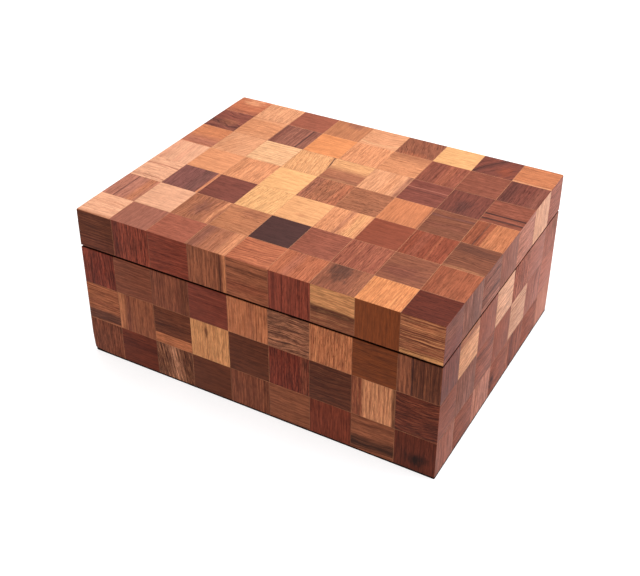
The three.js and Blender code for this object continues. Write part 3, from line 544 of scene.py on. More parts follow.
def invented(rows, cols, seed):
    """Tiles for the sides that face away, in the same mixture and the same alternation of grain."""
    rng = random.Random(seed)
    lights = ["honey", "peach", "apricot", "tan", "salmon", "pinkbrown", "cream"]
    mids = ["amber", "hazel", "russet", "cocoa", "mauve", "rose", "brick", "rust", "tangerine", "grey"]
    darks = ["rosewood", "chocolate", "umber", "maroon", "mahogany", "purple", "walnut", "crimson", "plum"]
    figs = ["smooth", "plain", "fine", "lines", "stripes", "waves", "wavy", "arcs", "figure", "flecks", "strong"]
    grid, last = [], None
    for r in range(rows):
        row = []
        for c in range(cols):
            while True:
                pool = rng.choices([lights, mids, darks], [0.26, 0.42, 0.32])[0]
                wood = rng.choice(pool)
                above = grid[r - 1][c]["wood"] if r else None
                if wood not in (last, above):
                    break
            last = wood
            fig = rng.choice(figs)
            bands = []
            if rng.random() < 0.35:
                bands.append((rng.uniform(-0.45, 0.45), rng.uniform(0.02, 0.14), rng.uniform(0.02, 0.1), rng.choice(mids + darks), rng.uniform(0.4, 0.8)))
            spot = None
            if rng.random() < 0.18:
                spot = (rng.uniform(-9, 9), rng.uniform(-9, 9), rng.uniform(4, 9), rng.choice(darks + ["charcoal"]), rng.uniform(0.4, 0.8), rng.uniform(0.8, 2.0))
            row.append(W(wood, "HV"[(r + c) % 2], fig, c=rng.uniform(0.55, 0.95), tilt=rng.choice([0, 0, 0, rng.uniform(-0.3, 0.3)]),
                         arc=rng.choice([0, 0, rng.uniform(-0.01, 0.01)]), bands=bands, spot=spot, light=rng.uniform(0.88, 1.06)))
        grid.append(row)
    return grid


# ------------------------------------------------------------------ tile geometry
class Face:
    """One outer face of the case or lid: s runs right and t up as seen from outside, depth goes in."""

    def __init__(self, o, s, t, n, lid):
        self.o, self.s, self.t, self.n = (np.array(v, float) for v in (o, s, t, n))
        self.lo = np.array([-X_SIDE, Y_FRONT, Z_LID if lid else Z_FOOT])
        self.hi = np.array([X_SIDE, Y_BACK, Z_TOP if lid else Z_RIM])

    def at(self, s, t, depth=0.0):
        return self.o + self.s * s + self.t * t - self.n * depth

    def radius(self, p):
        """How far the edges are eased, with the corners a little more worn."""
        r = 0.42
        worn = [((-X_SIDE, Y_FRONT, Z_FOOT), 1.5, 5.0), ((X_SIDE, Y_FRONT, Z_FOOT), 0.12, 3.0), ((-X_SIDE, Y_BACK, Z_FOOT), 0.8, 4.0), ((X_SIDE, Y_BACK, Z_FOOT), 0.6, 4.0),
                ((-X_SIDE, Y_FRONT, Z_TOP), 0.35, 4.0), ((X_SIDE, Y_BACK, Z_TOP), 0.5, 4.0), ((-X_SIDE, Y_BACK, Z_TOP), 0.45, 4.0)]
        for c, extra, reach in worn:
            r += extra * math.exp(-float(np.sum((p - np.array(c)) ** 2)) / reach ** 2)
        return r

    def skin(self, p):
        """The point on the eased body that stands for p on its sharp outside, and the way out there."""
        r = self.radius(p)
        q = np.minimum(np.maximum(p, self.lo + r), self.hi - r)
        d = p - q
        length = np.linalg.norm(d)
        if length < 1e-9:
            return p, self.n
        d = d / length
        return q + d * r, d


CUTS_OUT = [0.0, 0.14, 0.28, 0.42, 0.75, 1.15, 1.7]
CUTS_IN = [0.0, 0.16]
ROWS_RIM = [0.14, 0.28, 0.42, 0.75, 1.15, 1.7]
DEEP = 2.42


class Patch:
    """Collects the tiles of one face as separate closed islands with their wood written on them."""

    NAMES3 = ("grain", "shape")
    NAMES4 = ("c_base", "c_dark", "c_pale", "c_band", "c_band2", "c_spot", "g_ring", "g_band", "g_band2", "g_spot")

    def __init__(self, face, rich=1.0, fine=1.0, calm=1.0, grit=1.0):
        self.face, self.rich, self.fine, self.calm, self.grit = face, rich, fine, calm, grit
        self.verts, self.faces, self.smooth = [], [], []
        self.data = {k: [] for k in self.NAMES3 + self.NAMES4}

    def tile(self, s0, s1, t0, t1, ends, look, centre, seed, sink=0.0, drop=0.055):
        """ends: kind of the left, right, bottom and top edge: in, out (mitred), rim, flush."""
        f = self.face
        kl, kr, kb, kt = ends

        def line(a, b, ka, kb_):
            cuts = []
            for kind, at, sign in ((ka, a, 1), (kb_, b, -1)):
                if kind in ("out", "rim"):
                    c = [at + sign * k for k in CUTS_OUT]
                elif kind == "in":
                    c = [at + sign * k for k in CUTS_IN]
                else:
                    c = [at]
                cuts.append([v for v in c if (v - (a + b) / 2) * sign < -1e-6] or [at])
            return cuts[0] + ([(a + b) / 2] if b - a > 5 else []) + cuts[1][::-1]

        ss, ts = line(s0, s1, kl, kr), line(t0, t1, kb, kt)
        ns, nt_ = len(ss), len(ts)
        first = len(self.verts)
        places = []

        def mitred(v, a, b, ka, kb_, depth):
            """Keeps v inside the mitre planes of the outer edges at this depth."""
            return min(max(v, a + (depth if ka == "out" else 0.0)), b - (depth if kb_ == "out" else 0.0))

        def emit(p, s, t, depth):
            self.verts.append(p * MM)
            places.append((s, t, depth))
            return len(self.verts) - 1

        grid = [[None] * nt_ for _ in range(ns)]
        ways = {}
        for i, s in enumerate(ss):
            for j, t in enumerate(ts):
                p, d = f.skin(f.at(s, t))
                low = sink
                if (i == 0 and kl == "in") or (i == ns - 1 and kr == "in") or (j == 0 and kb == "in") or (j == nt_ - 1 and kt == "in"):
                    low += drop
                p = p - d * low
                grid[i][j] = emit(p, s, t, 0.0)
                way = p - f.o
                ways[(i, j)] = (float(np.dot(way, f.s)), float(np.dot(way, f.t)), -float(np.dot(way, f.n)))
        for i in range(ns - 1):
            for j in range(nt_ - 1):
                self.faces.append((grid[i][j], grid[i + 1][j], grid[i + 1][j + 1], grid[i][j + 1]))
                self.smooth.append(True)
        border = [(i, 0) for i in range(ns)] + [(ns - 1, j) for j in range(1, nt_)] + [(i, nt_ - 1) for i in range(ns - 2, -1, -1)] + [(0, j) for j in range(nt_ - 2, 0, -1)]
        rim = "rim" in ends
        depths = (ROWS_RIM if rim else []) + [DEEP]
        ring = [grid[i][j] for i, j in border]
        for depth in depths:
            new = []
            for i, j in border:
                s, t = ss[i], ts[j]
                on_rim = (j == 0 and kb == "rim") or (j == nt_ - 1 and kt == "rim") or (i == 0 and kl == "rim") or (i == ns - 1 and kr == "rim")
                si, ti = mitred(s, s0, s1, kl, kr, depth), mitred(t, t0, t1, kb, kt, depth)
                if on_rim:
                    p, d = f.skin(f.at(si, ti, depth))
                    if sink:
                        p = p - d * sink
                else:
                    ps, pt, here = ways[(i, j)]
                    p = f.at(mitred(ps, s0, s1, kl, kr, depth), mitred(pt, t0, t1, kb, kt, depth), max(depth, here))
                new.append(emit(p, si, ti, depth))
            for k in range(len(border)):
                m = (k + 1) % len(border)
                self.faces.append((ring[k], new[k], new[m], ring[m]))
                self.smooth.append(True)
            ring = new
        self.faces.append(tuple(ring[::-1]))
        self.smooth.append(False)
        # what the material reads at each point
        cs, ct, size_s, size_t = centre
        fq, cn, wv, per, fl, po = FIGURES[look["fig"]]
        po = po if look["pore"] is None else look["pore"]
        along_s = look["grain"] == "H"
        size = size_t if along_s else size_s
        col = lambda name: np.array(rgb(*PALETTE[name])) ** self.rich * ALBEDO * (1 + 1.0 * (self.rich - 1)) if name else None
        base = col(look["wood"]) * look["light"]
        dark = col(look["dark"]) if look["dark"] else base * np.array([0.42, 0.32, 0.30])
        pale = col(look["pale"]) if look["pale"] else base * np.array([1.4, 1.45, 1.5])
        bands = list(look["bands"])[:2] + [(0, 0, 0.01, look["wood"], 0.0)] * 2
        (c1, h1, s1_, w1, a1), (c2, h2, s2_, w2, a2) = bands[:2]
        spot = look["spot"] or (0, 0, 1, look["wood"], 0.0, 1.0)
        rows = {
            "shape": (seed, 0.0 if look["cath"] else 70.0, look["cath"]),
            "c_base": (*base, po * self.grit), "c_dark": (*dark, cn * look["c"] * self.calm), "c_pale": (*pale, fl * self.fine),
            "c_band": (*(col(w1) * look["light"]), a1), "c_band2": (*(col(w2) * look["light"]), a2), "c_spot": (*col(spot[3]), spot[4]),
            "g_ring": (fq * look["f"], wv * look["w"], look["tilt"], per),
            "g_band": (c1 * size, h1 * size, s1_ * size, look["arc"]), "g_band2": (c2 * size, h2 * size, s2_ * size, look.get("gloss", 0.46)),
            "g_spot": (spot[0], spot[1], spot[2], spot[5]),
        }
        for s, t, depth in places:
            a, b = s - cs, t - ct
            self.data["grain"].append((a, b, depth) if along_s else (b, a, depth))
            for k, v in rows.items():
                self.data[k].append(v)

    def build(self, name, material):
        me = bpy.data.meshes.new(name)
        me.from_pydata([tuple(v) for v in self.verts], [], self.faces)
        me.materials.append(material)
        for k in self.NAMES3:
            a = me.attributes.new(k, "FLOAT_VECTOR", "POINT")
            a.data.foreach_set("vector", np.array(self.data[k], np.float32).ravel())
        for k in self.NAMES4:
            a = me.attributes.new(k, "FLOAT_COLOR", "POINT")
            a.data.foreach_set("color", np.array(self.data[k], np.float32).ravel())
        me.polygons.foreach_set("use_smooth", self.smooth)
        bm = bmesh.new()
        bm.from_mesh(me)
        bmesh.ops.dissolve_degenerate(bm, dist=1.5e-6, edges=bm.edges)
        bmesh.ops.recalc_face_normals(bm, faces=bm.faces)
        bm.to_mesh(me)
        bm.free()
        me.set_sharp_from_angle(angle=math.radians(40))
        me.update()
        ob = bpy.data.objects.new(name, me)
        bpy.context.scene.collection.objects.link(ob)
        return ob


GAP = 0.11
GLUE_LOOK = dict(W("glue", "H", "plain", c=0.8, dark="glue_dark"), gloss=0.5)
COLS = [-130.0, -103.2, -73.9, -44.5, -15.2, 14.2, 43.5, 72.8, 102.1, 130.0]
LID_COLS = [-130.0, -101.9, -73.2, -43.2, -14.4, 15.2, 44.3, 73.6, 102.6, 130.0]
SIDE = [-100.0, -74.0, -44.4, -14.8, 14.8, 44.4, 74.0, 100.0]
BASE_ROWS = [Z_RIM, 57.7, 28.3, 1.15]


def face_tiles(name, face, s_edges, t_edges, grid, kinds, nodes, body, seed, notches=(), rich=1.0, fine=1.0, glue=(0.30, 0.85), calm=1.0, grit=1.0):
    """Lays the tiles of one face. t_edges run from the top row down; kinds are the outer edges' (left, right, bottom, top)."""
    rng = random.Random(seed)
    patch = Patch(face, rich, fine, calm, grit)
    kl, kr, kb, kt = kinds
    rows, cols = len(grid), len(grid[0])
    for r in range(rows):
        t1, t0 = t_edges[r], t_edges[r + 1]
        edge_t = kt if r == 0 else "in"
        edge_b = kb if r == rows - 1 else "in"
        xs = [s_edges[0]] + [s + rng.uniform(-0.25, 0.25) for s in s_edges[1:-1]] + [s_edges[-1]]
        for c in range(cols):
            a, b = xs[c], xs[c + 1]
            el, er = (kl if c == 0 else "in"), (kr if c == cols - 1 else "in")
            ga, gb = (0.0 if c == 0 else GAP), (0.0 if c == cols - 1 else GAP)
            g0, g1 = (0.0 if r == rows - 1 else GAP), (0.0 if r == 0 else GAP)
            look = dict(grid[r][c])
            look["gloss"] = rng.uniform(0.54, 0.62)
            centre = ((a + b) / 2, (t0 + t1) / 2, b - a, t1 - t0)
            tile_seed = rng.uniform(0, 60)
            sink = rng.choice([0.0, 0.0, 0.008, 0.015])
            parts = [(a + ga, b - gb, t0 + g0, t1 - g1, [el, er, edge_b, edge_t])]
            for n0, n1, depth, at_top in notches:
                nxt = []
                for (p0, p1, q0, q1, e) in parts:
                    hit = (at_top and r == 0) or (not at_top and r == rows - 1)
                    if not hit or n1 <= p0 + 0.3 or n0 >= p1 - 0.3:
                        nxt.append((p0, p1, q0, q1, e))
                        continue
                    x0, x1 = max(p0, n0), min(p1, n1)
                    if x0 > p0:
                        nxt.append((p0, x0, q0, q1, [e[0], "flush", e[2], e[3]]))
                    inner = [e[0] if x0 == p0 else "flush", e[1] if x1 == p1 else "flush", e[2], e[3]]
                    if at_top:
                        inner[3] = "flush"
                        nxt.append((x0, x1, q0, q1 - depth, inner))
                    else:
                        inner[2] = "flush"
                        nxt.append((x0, x1, q0 + depth, q1, inner))
                    if x1 < p1:
                        nxt.append((x1, p1, q0, q1, ["flush", e[1], e[2], e[3]]))
                parts = nxt
            for p0, p1, q0, q1, e in parts:
                patch.tile(p0, p1, q0, q1, e, look, centre, tile_seed, sink=sink)
            if c < cols - 1:
                top, low = t1 - g1, t0 + g0
                top_kind, low_kind = ("rim" if edge_t == "rim" else "out" if edge_t == "out" else "flush"), ("rim" if edge_b == "rim" else "out" if edge_b == "out" else "flush")
                for n0, n1, depth, at_top in notches:
                    if n0 < b < n1 and at_top and r == 0:
                        top, top_kind = top - depth, "flush"
                    if n0 < b < n1 and not at_top and r == rows - 1:
                        low, low_kind = low + depth, "flush"
                patch.tile(b - GAP, b + GAP, low, top, ["flush", "flush", low_kind, top_kind], dict(GLUE_LOOK, grain="V", light=rng.uniform(*glue)), (b, (t0 + t1) / 2, 1, 30), rng.uniform(0, 60), sink=0.05)
        if r < rows - 1:
            s0, s1 = s_edges[0], s_edges[-1]
            patch.tile(s0, s1, t0 - GAP, t0 + GAP, [kl, kr, "flush", "flush"], dict(GLUE_LOOK, light=rng.uniform(*glue)), (0, t0, 30, 1), rng.uniform(0, 60), sink=0.05)
    ob = patch.build(name, WOOD)
    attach(ob, body)
    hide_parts(*nodes)
    return ob


WOOD = patchwork_material()
top_face = Face((0, Y_MID, Z_TOP), (1, 0, 0), (0, 1, 0), (0, 0, 1), True)


def side_face(side, lid):
    o, s, n = {
        "front": ((0, Y_FRONT, 0), (1, 0, 0), (0, -1, 0)),
        "back": ((0, Y_BACK, 0), (-1, 0, 0), (0, 1, 0)),
        "right": ((X_SIDE, Y_MID, 0), (0, 1, 0), (1, 0, 0)),
        "left": ((-X_SIDE, Y_MID, 0), (0, -1, 0), (-1, 0, 0)),
    }[side]
    return Face(o, s, (0, 0, 1), n, lid)


SIDE_ROWS = [y for y in reversed(SIDE)]
face_tiles("patchwork_lid_top", top_face, COLS, SIDE_ROWS, TOP, ("out", "out", "out", "out"), ["lid_top_tiles"], "lid", 11, fine=0.86, glue=(0.75, 1.1), calm=0.8, grit=1.5)
BACK_GRID = invented(4, 9, 77)
LEFT_GRID = invented(4, 7, 41)
MORTISES = [(-75 - 23.2, -75 + 23.2), (75 - 23.2, 75 + 23.2)]
for side, lid_grid, base_grid, lid_cuts, cuts in (
    ("front", [LID_FRONT], BASE_FRONT, LID_COLS, COLS),
    ("right", [LID_RIGHT], BASE_RIGHT, SIDE, SIDE),
    ("back", BACK_GRID[:1], BACK_GRID[1:], [-x for x in reversed(COLS)], [-x for x in reversed(COLS)]),
    ("left", LEFT_GRID[:1], LEFT_GRID[1:], SIDE, SIDE),
):
    up_notch = [(a, b, 1.5, False) for a, b in MORTISES] if side == "back" else []
    low_notch = [(a, b, 1.4, True) for a, b in MORTISES] if side == "back" else []
    k = {"front": 3, "right": 5, "back": 7, "left": 9}[side]
    rich = {"front": 1.16, "right": 1.0, "back": 1.08, "left": 1.08}[side]
    fine = {"front": 1.2, "right": 1.45, "back": 1.2, "left": 1.2}[side]
    face_tiles(f"patchwork_lid_{side}", side_face(side, True), lid_cuts, [Z_TOP, Z_LID], lid_grid, ("out", "out", "rim", "out"), [f"lid_{side}_tiles"], "lid", 20 + k, up_notch, rich, fine)
    face_tiles(f"patchwork_case_{side}", side_face(side, False), cuts, BASE_ROWS, base_grid, ("out", "out", "rim", "rim"), [f"base_{side}_tiles"], "case", 40 + k, low_notch, rich, fine)


# ------------------------------------------------------------------ boards: plain hardwood carcase and Spanish cedar lining
def board_wood(name, base, dark, pale, axes, freq, contrast, wave, per, fleck, pore, seed, tilt=0.0, arc=0.0, cath=0.0, rough=0.62, spec=0.2, lift=0.05):
    """axes: which object axes run along the grain, across it and through the board."""
    g = Graph(name)
    xyz = dict(zip("xyz", g.split(g.object_mm())))
    u, v, w = (xyz[a] for a in axes)
    uvw = g.vec(u, g.madd(w, 0.31, v), w)
    tone, light, pores, vv, narrow = wood_tone(g, uvw, seed, 0.0 if cath else 90.0, cath, freq, wave, tilt, arc, per, contrast, fleck, pore)
    ground = g.mix(g.step(g.noise(g.vmath("MULTIPLY", uvw, (0.006, 0.03, 0.03)), detail=2.0), 0.3, 0.7), rgb(*base), tuple(a * 0.5 + b * 0.5 for a, b in zip(rgb(*base), rgb(*pale))))
    col = g.mix(tone, ground, rgb(*dark))
    col = g.mix(g.mul(tone, -0.8), col, rgb(*pale))
    col = g.mix(g.mul(pores, 0.9), col, tuple(c * 0.55 for c in rgb(*dark)))
    col = g.scale_colour(col, light)
    height = g.sub(g.mul(light, 0.6), pores)
    return g.principled(colour=col, rough=g.add(g.madd(narrow, 0.12, rough), g.mul(pores, 0.12)), spec=spec, normal=g.bump(height, lift, 0.6))


def cedar(name, axes, seed, **kw):
    look = dict(freq=0.12, contrast=0.27, wave=1.6, per=0.75, fleck=0.10, pore=0.42, rough=0.66, spec=0.16)
    look.update(kw)
    return board_wood(name, (190, 122, 88), (138, 78, 54), (214, 152, 114), axes, seed=seed, **look)


def carcase(name, axes, seed):
    return board_wood(name, (164, 108, 74), (112, 66, 44), (190, 138, 98), axes, 0.2, 0.35, 1.2, 0.5, 0.12, 0.35, seed, rough=0.5, spec=0.3)


CEDAR_X = cedar("cedar_long", "xzy", 3.2)
CEDAR_Y = cedar("cedar_short", "yzx", 8.9)
CEDAR_FLOOR = cedar("cedar_floor_board", "xyz", 14.6, freq=0.10, cath=0.055, wave=2.4)
CEDAR_CEILING = cedar("cedar_ceiling_board", "xyz", 27.1, freq=0.10, cath=0.075, wave=2.0)
CEDAR_DIVIDER = cedar("cedar_divider_board", "yzx", 41.7, freq=0.16, arc=0.0006, contrast=0.32)
CARCASE_X = carcase("carcase_long", "xzy", 5.5)
CARCASE_Y = carcase("carcase_short", "yzx", 11.3)
CARCASE_FLAT = carcase("carcase_flat", "xyz", 19.8)


def round_shading():
    """A modifier group: joins the split corners of a CAD mesh and shades its curved faces smooth, keeping true edges sharp."""
    ng = bpy.data.node_groups.new("round_shading", "GeometryNodeTree")
    ng.interface.new_socket("Geometry", in_out="INPUT", socket_type="NodeSocketGeometry")
    ng.interface.new_socket("Geometry", in_out="OUTPUT", socket_type="NodeSocketGeometry")
    first, last = ng.nodes.new("NodeGroupInput"), ng.nodes.new("NodeGroupOutput")
    strip = ng.nodes.new("GeometryNodeRemoveAttribute")
    strip.inputs["Name"].default_value = "custom_normal"
    merge = ng.nodes.new("GeometryNodeMergeByDistance")
    merge.inputs["Distance"].default_value = 2e-6
    round_ = ng.nodes.new("GeometryNodeSetShadeSmooth")
    round_.domain = "FACE"
    round_.inputs["Shade Smooth"].default_value = True
    angle = ng.nodes.new("GeometryNodeInputMeshEdgeAngle")
    over = ng.nodes.new("FunctionNodeCompare")
    over.data_type = "FLOAT"
    over.operation = "GREATER_THAN"
    over.inputs["B"].default_value = math.radians(33)
    crisp = ng.nodes.new("GeometryNodeSetShadeSmooth")
    crisp.domain = "EDGE"
    crisp.inputs["Shade Smooth"].default_value = False
    link = ng.links.new
    link(first.outputs[0], strip.inputs["Geometry"])
    link(strip.outputs[0], merge.inputs["Geometry"])
    link(merge.outputs[0], round_.inputs["Geometry"])
    link(angle.outputs["Unsigned Angle"], over.inputs["A"])
    link(round_.outputs[0], crisp.inputs["Geometry"])
    link(over.outputs[0], crisp.inputs["Selection"])
    link(crisp.outputs[0], last.inputs[0])
    return ng


ROUND = round_shading()


def dress(material, *names, ease=0.0, segments=2):
    """Gives CAD nodes their finish, smooths their round faces, and eases their sharp edges where ease (mm) says so."""
    for n in names:
        ob = NODES[n]
        if not ob.material_slots:
            ob.data.materials.append(material)
        for s in ob.material_slots:
            s.material = material
        ob.modifiers.new("round_shading", "NODES").node_group = ROUND
        if ease:
            flat = ob.modifiers.new("joined_flats", "DECIMATE")
            flat.decimate_type = "DISSOLVE"
            flat.angle_limit = math.radians(0.5)
            bevel = ob.modifiers.new("eased_edges", "BEVEL")
            bevel.width = ease * MM
            bevel.segments = segments
            bevel.limit_method = "ANGLE"
            bevel.angle_limit = math.radians(38)
            bevel.harden_normals = True


dress(CARCASE_X, "base_front_board", "base_back_board", "lid_front_rail", "lid_back_rail", ease=0.22)
dress(CARCASE_Y, "base_left_board", "base_right_board", "lid_left_rail", "lid_right_rail", ease=0.22)
dress(CARCASE_FLAT, "base_bottom_board", "lid_top_board", ease=0.2)
dress(CEDAR_X, "base_front_cedar", "base_back_cedar", "lid_front_cedar", "lid_back_cedar", ease=0.3)
dress(CEDAR_Y, "base_left_cedar", "base_right_cedar", "lid_left_cedar", "lid_right_cedar", ease=0.3)
dress(CEDAR_FLOOR, "cedar_floor", ease=0.2)
dress(CEDAR_CEILING, "lid_cedar_ceiling", ease=0.2)
dress(CEDAR_DIVIDER, "cedar_divider", ease=0.6, segments=3)


# ------------------------------------------------------------------ metals
def metal(name, colour, dull, rough, brush=None, centre=None, brush_mm=0.006, patch=0.35, scale=0.16):
    """Brushed metal. brush: grain frequencies along x, y, z per mm; or centre: a point that the brushing turns about."""
    g = Graph(name)
    p = g.object_mm()
    if centre is not None:
        x, y, z = g.split(g.vmath("SUBTRACT", p, centre))
        radius = g.math("SQRT", g.add(g.mul(x, x), g.mul(y, y)))
        lines = g.noise1(g.mul(radius, 9.0), detail=3.0, rough=0.7)
    else:
        lines = g.noise(g.vmath("MULTIPLY", p, brush), detail=2.5, rough=0.65)
    cloud = g.noise(g.vmath("SCALE", p, scale=scale), detail=3.0, rough=0.6)
    spots = g.noise(g.vmath("SCALE", p, scale=scale * 7), detail=2.0, rough=0.6)
    worn = g.mul(g.step(g.madd(spots, 0.35, cloud), 0.58, 0.86), patch)
    col = g.mix(worn, colour, dull)
    col = g.scale_colour(col, g.madd(g.sub(lines, 0.5), 0.16, 1.0))
    r = g.add(g.madd(g.sub(lines, 0.5), 0.22, rough), g.mul(worn, 0.35))
    return g.principled(colour=col, rough=r, metal=1.0, normal=g.bump(g.add(lines, g.mul(spots, 0.4)), brush_mm, 0.6))


HZ, HCX, HCY = 102.3, 62.0, -2.6
BRASS = metal("brass_brushed", (0.70, 0.47, 0.18), (0.40, 0.24, 0.09), 0.30, brush=(0.25, 5.5, 5.5))
BRASS_TURNED = metal("brass_turned", (0.76, 0.53, 0.22), (0.45, 0.28, 0.11), 0.22, centre=(HCX, HCY, HZ), brush_mm=0.004)
BRASS_COIL = metal("coil_bimetal", (0.66, 0.40, 0.20), (0.34, 0.20, 0.10), 0.28, brush=(3.0, 3.0, 0.4), brush_mm=0.003)
STEEL = metal("steel_plate", (0.56, 0.55, 0.53), (0.34, 0.33, 0.31), 0.34, brush=(0.2, 6.0, 6.0), patch=0.3)
NICKEL = metal("magnet_nickel", (0.66, 0.64, 0.60), (0.40, 0.38, 0.35), 0.17, brush=(1.2, 1.2, 1.2), brush_mm=0.002, patch=0.25, scale=0.4)



def lathe(name, profile, centre, material, body, node, segments=160):
    """A closed ring turned from (radius, height) points, in mm, about a vertical axis."""
    bm = bmesh.new()
    rings = []
    for i in range(segments):
        a = 2 * math.pi * i / segments
        rings.append([bm.verts.new(((centre[0] + r * math.cos(a)) * MM, (centre[1] + r * math.sin(a)) * MM, (centre[2] + z) * MM)) for r, z in profile])
    n = len(profile)
    for i in range(segments):
        p, q = rings[i], rings[(i + 1) % segments]
        for k in range(n):
            bm.faces.new((p[k], p[(k + 1) % n], q[(k + 1) % n], q[k])).smooth = True
    bmesh.ops.recalc_face_normals(bm, faces=bm.faces)
    me = bpy.data.meshes.new(name)
    bm.to_mesh(me)
    bm.free()
    me.set_sharp_from_angle(angle=math.radians(42))
    me.materials.append(material)
    ob = bpy.data.objects.new(name, me)
    bpy.context.scene.collection.objects.link(ob)
    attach(ob, body)
    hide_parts(node)
    return ob


BEZEL = [(19.3, -2.3), (19.42, -2.5), (19.75, -2.6), (20.5, -2.6), (20.68, -2.52), (20.9, -2.52), (21.08, -2.6), (22.7, -2.6), (23.2, -2.56), (23.7, -2.38),
         (24.5, -1.88), (25.1, -1.5), (25.4, -1.25), (25.5, -1.0), (25.5, -0.32), (25.44, -0.2), (25.3, -0.15), (20.7, -0.15), (20.7, -1.6), (19.3, -1.6)]

HINGES = [f"hinge_{s}_{p}" for s in ("left", "right") for p in ("base_leaf", "lid_leaf")]
PINS = [f"hinge_{s}_pin" for s in ("left", "right")]
SCREWS = [f"hinge_{s}_{b}_screw_{i}" for s in ("left", "right") for b in ("base", "lid") for i in (1, 2)]
dress(BRASS, *HINGES, ease=0.12)
dress(BRASS, *PINS, ease=0.12)
dress(BRASS, *SCREWS, ease=0.06)
lathe("hygrometer_bezel_ring", BEZEL, (HCX, HCY, HZ), BRASS_TURNED, "lid", "hygrometer_bezel")
dress(BRASS_COIL, "hygrometer_coil")
dress(STEEL, "humidifier_lid_plate", ease=0.08)
dress(NICKEL, "humidifier_magnet_left", "humidifier_magnet_right", ease=0.25)


# ------------------------------------------------------------------ painted metal, plastic, card, glass
def textured(name, colour, worn, rough, grain_per_mm, lift, spec=0.45):
    g = Graph(name)
    p = g.object_mm()
    grit = g.noise(g.vmath("SCALE", p, scale=grain_per_mm), detail=2.0, rough=0.6)
    cloud = g.noise(g.vmath("SCALE", p, scale=0.09), detail=3.0, rough=0.6)
    rub = g.step(cloud, 0.42, 0.72)
    col = g.mix(g.mul(rub, 0.5), colour, worn)
    col = g.scale_colour(col, g.madd(g.sub(grit, 0.5), 0.3, 1.0))
    r = g.add(g.madd(g.sub(grit, 0.5), 0.12, rough), g.mul(rub, -0.08))
    return g.principled(colour=col, rough=r, spec=spec, normal=g.bump(grit, lift, 0.7))


BLACK_PAINT = textured("black_painted_steel", (0.020, 0.019, 0.018), (0.034, 0.031, 0.028), 0.42, 1.1, 0.03)
PLASTIC = textured("black_moulded_plastic", (0.022, 0.022, 0.023), (0.036, 0.036, 0.037), 0.52, 2.6, 0.03, 0.5)
NEEDLE = textured("needle_enamel", (0.012, 0.012, 0.013), (0.020, 0.020, 0.020), 0.32, 2.0, 0.005, 0.5)
dress(BLACK_PAINT, "hygrometer_case", ease=0.15)
dress(PLASTIC, "humidifier_case", "humidifier_grille", ease=0.18)
dress(NEEDLE, "hygrometer_needle")


def card_material():
    g = Graph("dial_card_stock")
    p = g.object_mm()
    fibre = g.noise(g.vmath("MULTIPLY", p, (2.2, 0.9, 1.0)), detail=3.0, rough=0.65)
    tone = g.noise(g.vmath("SCALE", p, scale=0.07), detail=2.0)
    x, y, z = g.split(g.vmath("SUBTRACT", p, (HCX, HCY, HZ)))
    edge = g.step(g.math("SQRT", g.add(g.mul(x, x), g.mul(y, y))), 13.0, 20.5)
    col = g.mix(g.step(tone, 0.3, 0.7), rgb(240, 233, 214), rgb(232, 222, 198))
    col = g.mix(g.mul(edge, 0.35), col, rgb(214, 196, 160))
    col = g.scale_colour(col, g.madd(g.sub(fibre, 0.5), 0.10, 1.0))
    return g.principled(colour=col, rough=g.madd(fibre, 0.15, 0.6), spec=0.3, normal=g.bump(fibre, 0.012, 0.5))


def ink(name, colour, spread=0.18):
    g = Graph(name)
    p = g.object_mm()
    n = g.noise(g.vmath("SCALE", p, scale=3.2), detail=2.0, rough=0.6)
    return g.principled(colour=g.scale_colour(rgb(*colour), g.madd(g.sub(n, 0.5), spread * 2, 1.0)), rough=g.madd(n, 0.2, 0.42), spec=0.35)


def glass_material():
    g = Graph("lens_glass")
    p = g.object_mm()
    smear = g.noise(g.vmath("SCALE", p, scale=0.12), detail=3.0, rough=0.6)
    return g.principled(colour=(0.97, 0.985, 0.98), rough=g.madd(g.step(smear, 0.45, 0.8), 0.03, 0.006), ior=1.45, transmission=1.0)


dress(card_material(), "hygrometer_dial")
dress(glass_material(), "hygrometer_lens")


# ------------------------------------------------------------------ printing on the dial, seen from below the lid
def dial_point(a, b, c):
    """a to the right, b up, c towards the eye, mm from the dial's middle, as read with the lid open."""
    return ((HCX + a) * MM, (HCY - b) * MM, (HZ + 1.3 - c) * MM)


def dial_piece(name, material, make):
    bm = bmesh.new()
    make(bm)
    bmesh.ops.recalc_face_normals(bm, faces=bm.faces)
    me = bpy.data.meshes.new(name)
    bm.to_mesh(me)
    bm.free()
    me.materials.append(material)
    ob = bpy.data.objects.new(name, me)
    bpy.context.scene.collection.objects.link(ob)
    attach(ob, "lid")
    return ob


def turned(angle):
    """Unit vectors out from and along the scale at an angle clockwise from the top."""
    s, c = math.sin(math.radians(angle)), math.cos(math.radians(angle))
    return (s, c), (c, -s)


def at_value(v):
    return (v - 50.0) / 50.0 * 135.0


def wedge(bm, r0, r1, a0, a1, thick, steps, lift=0.0):
    """A thin flat arc of print between two radii and two angles."""
    rings = []
    for i in range(steps + 1):
        o, _ = turned(a0 + (a1 - a0) * i / steps)
        rings.append([bm.verts.new(dial_point(o[0] * r, o[1] * r, c)) for r, c in ((r0, lift), (r1, lift), (r1, lift + thick), (r0, lift + thick))])
    for p, q in zip(rings, rings[1:]):
        for k in range(4):
            bm.faces.new((p[k], p[(k + 1) % 4], q[(k + 1) % 4], q[k]))
    bm.faces.new(rings[0][::-1])
    bm.faces.new(rings[-1])


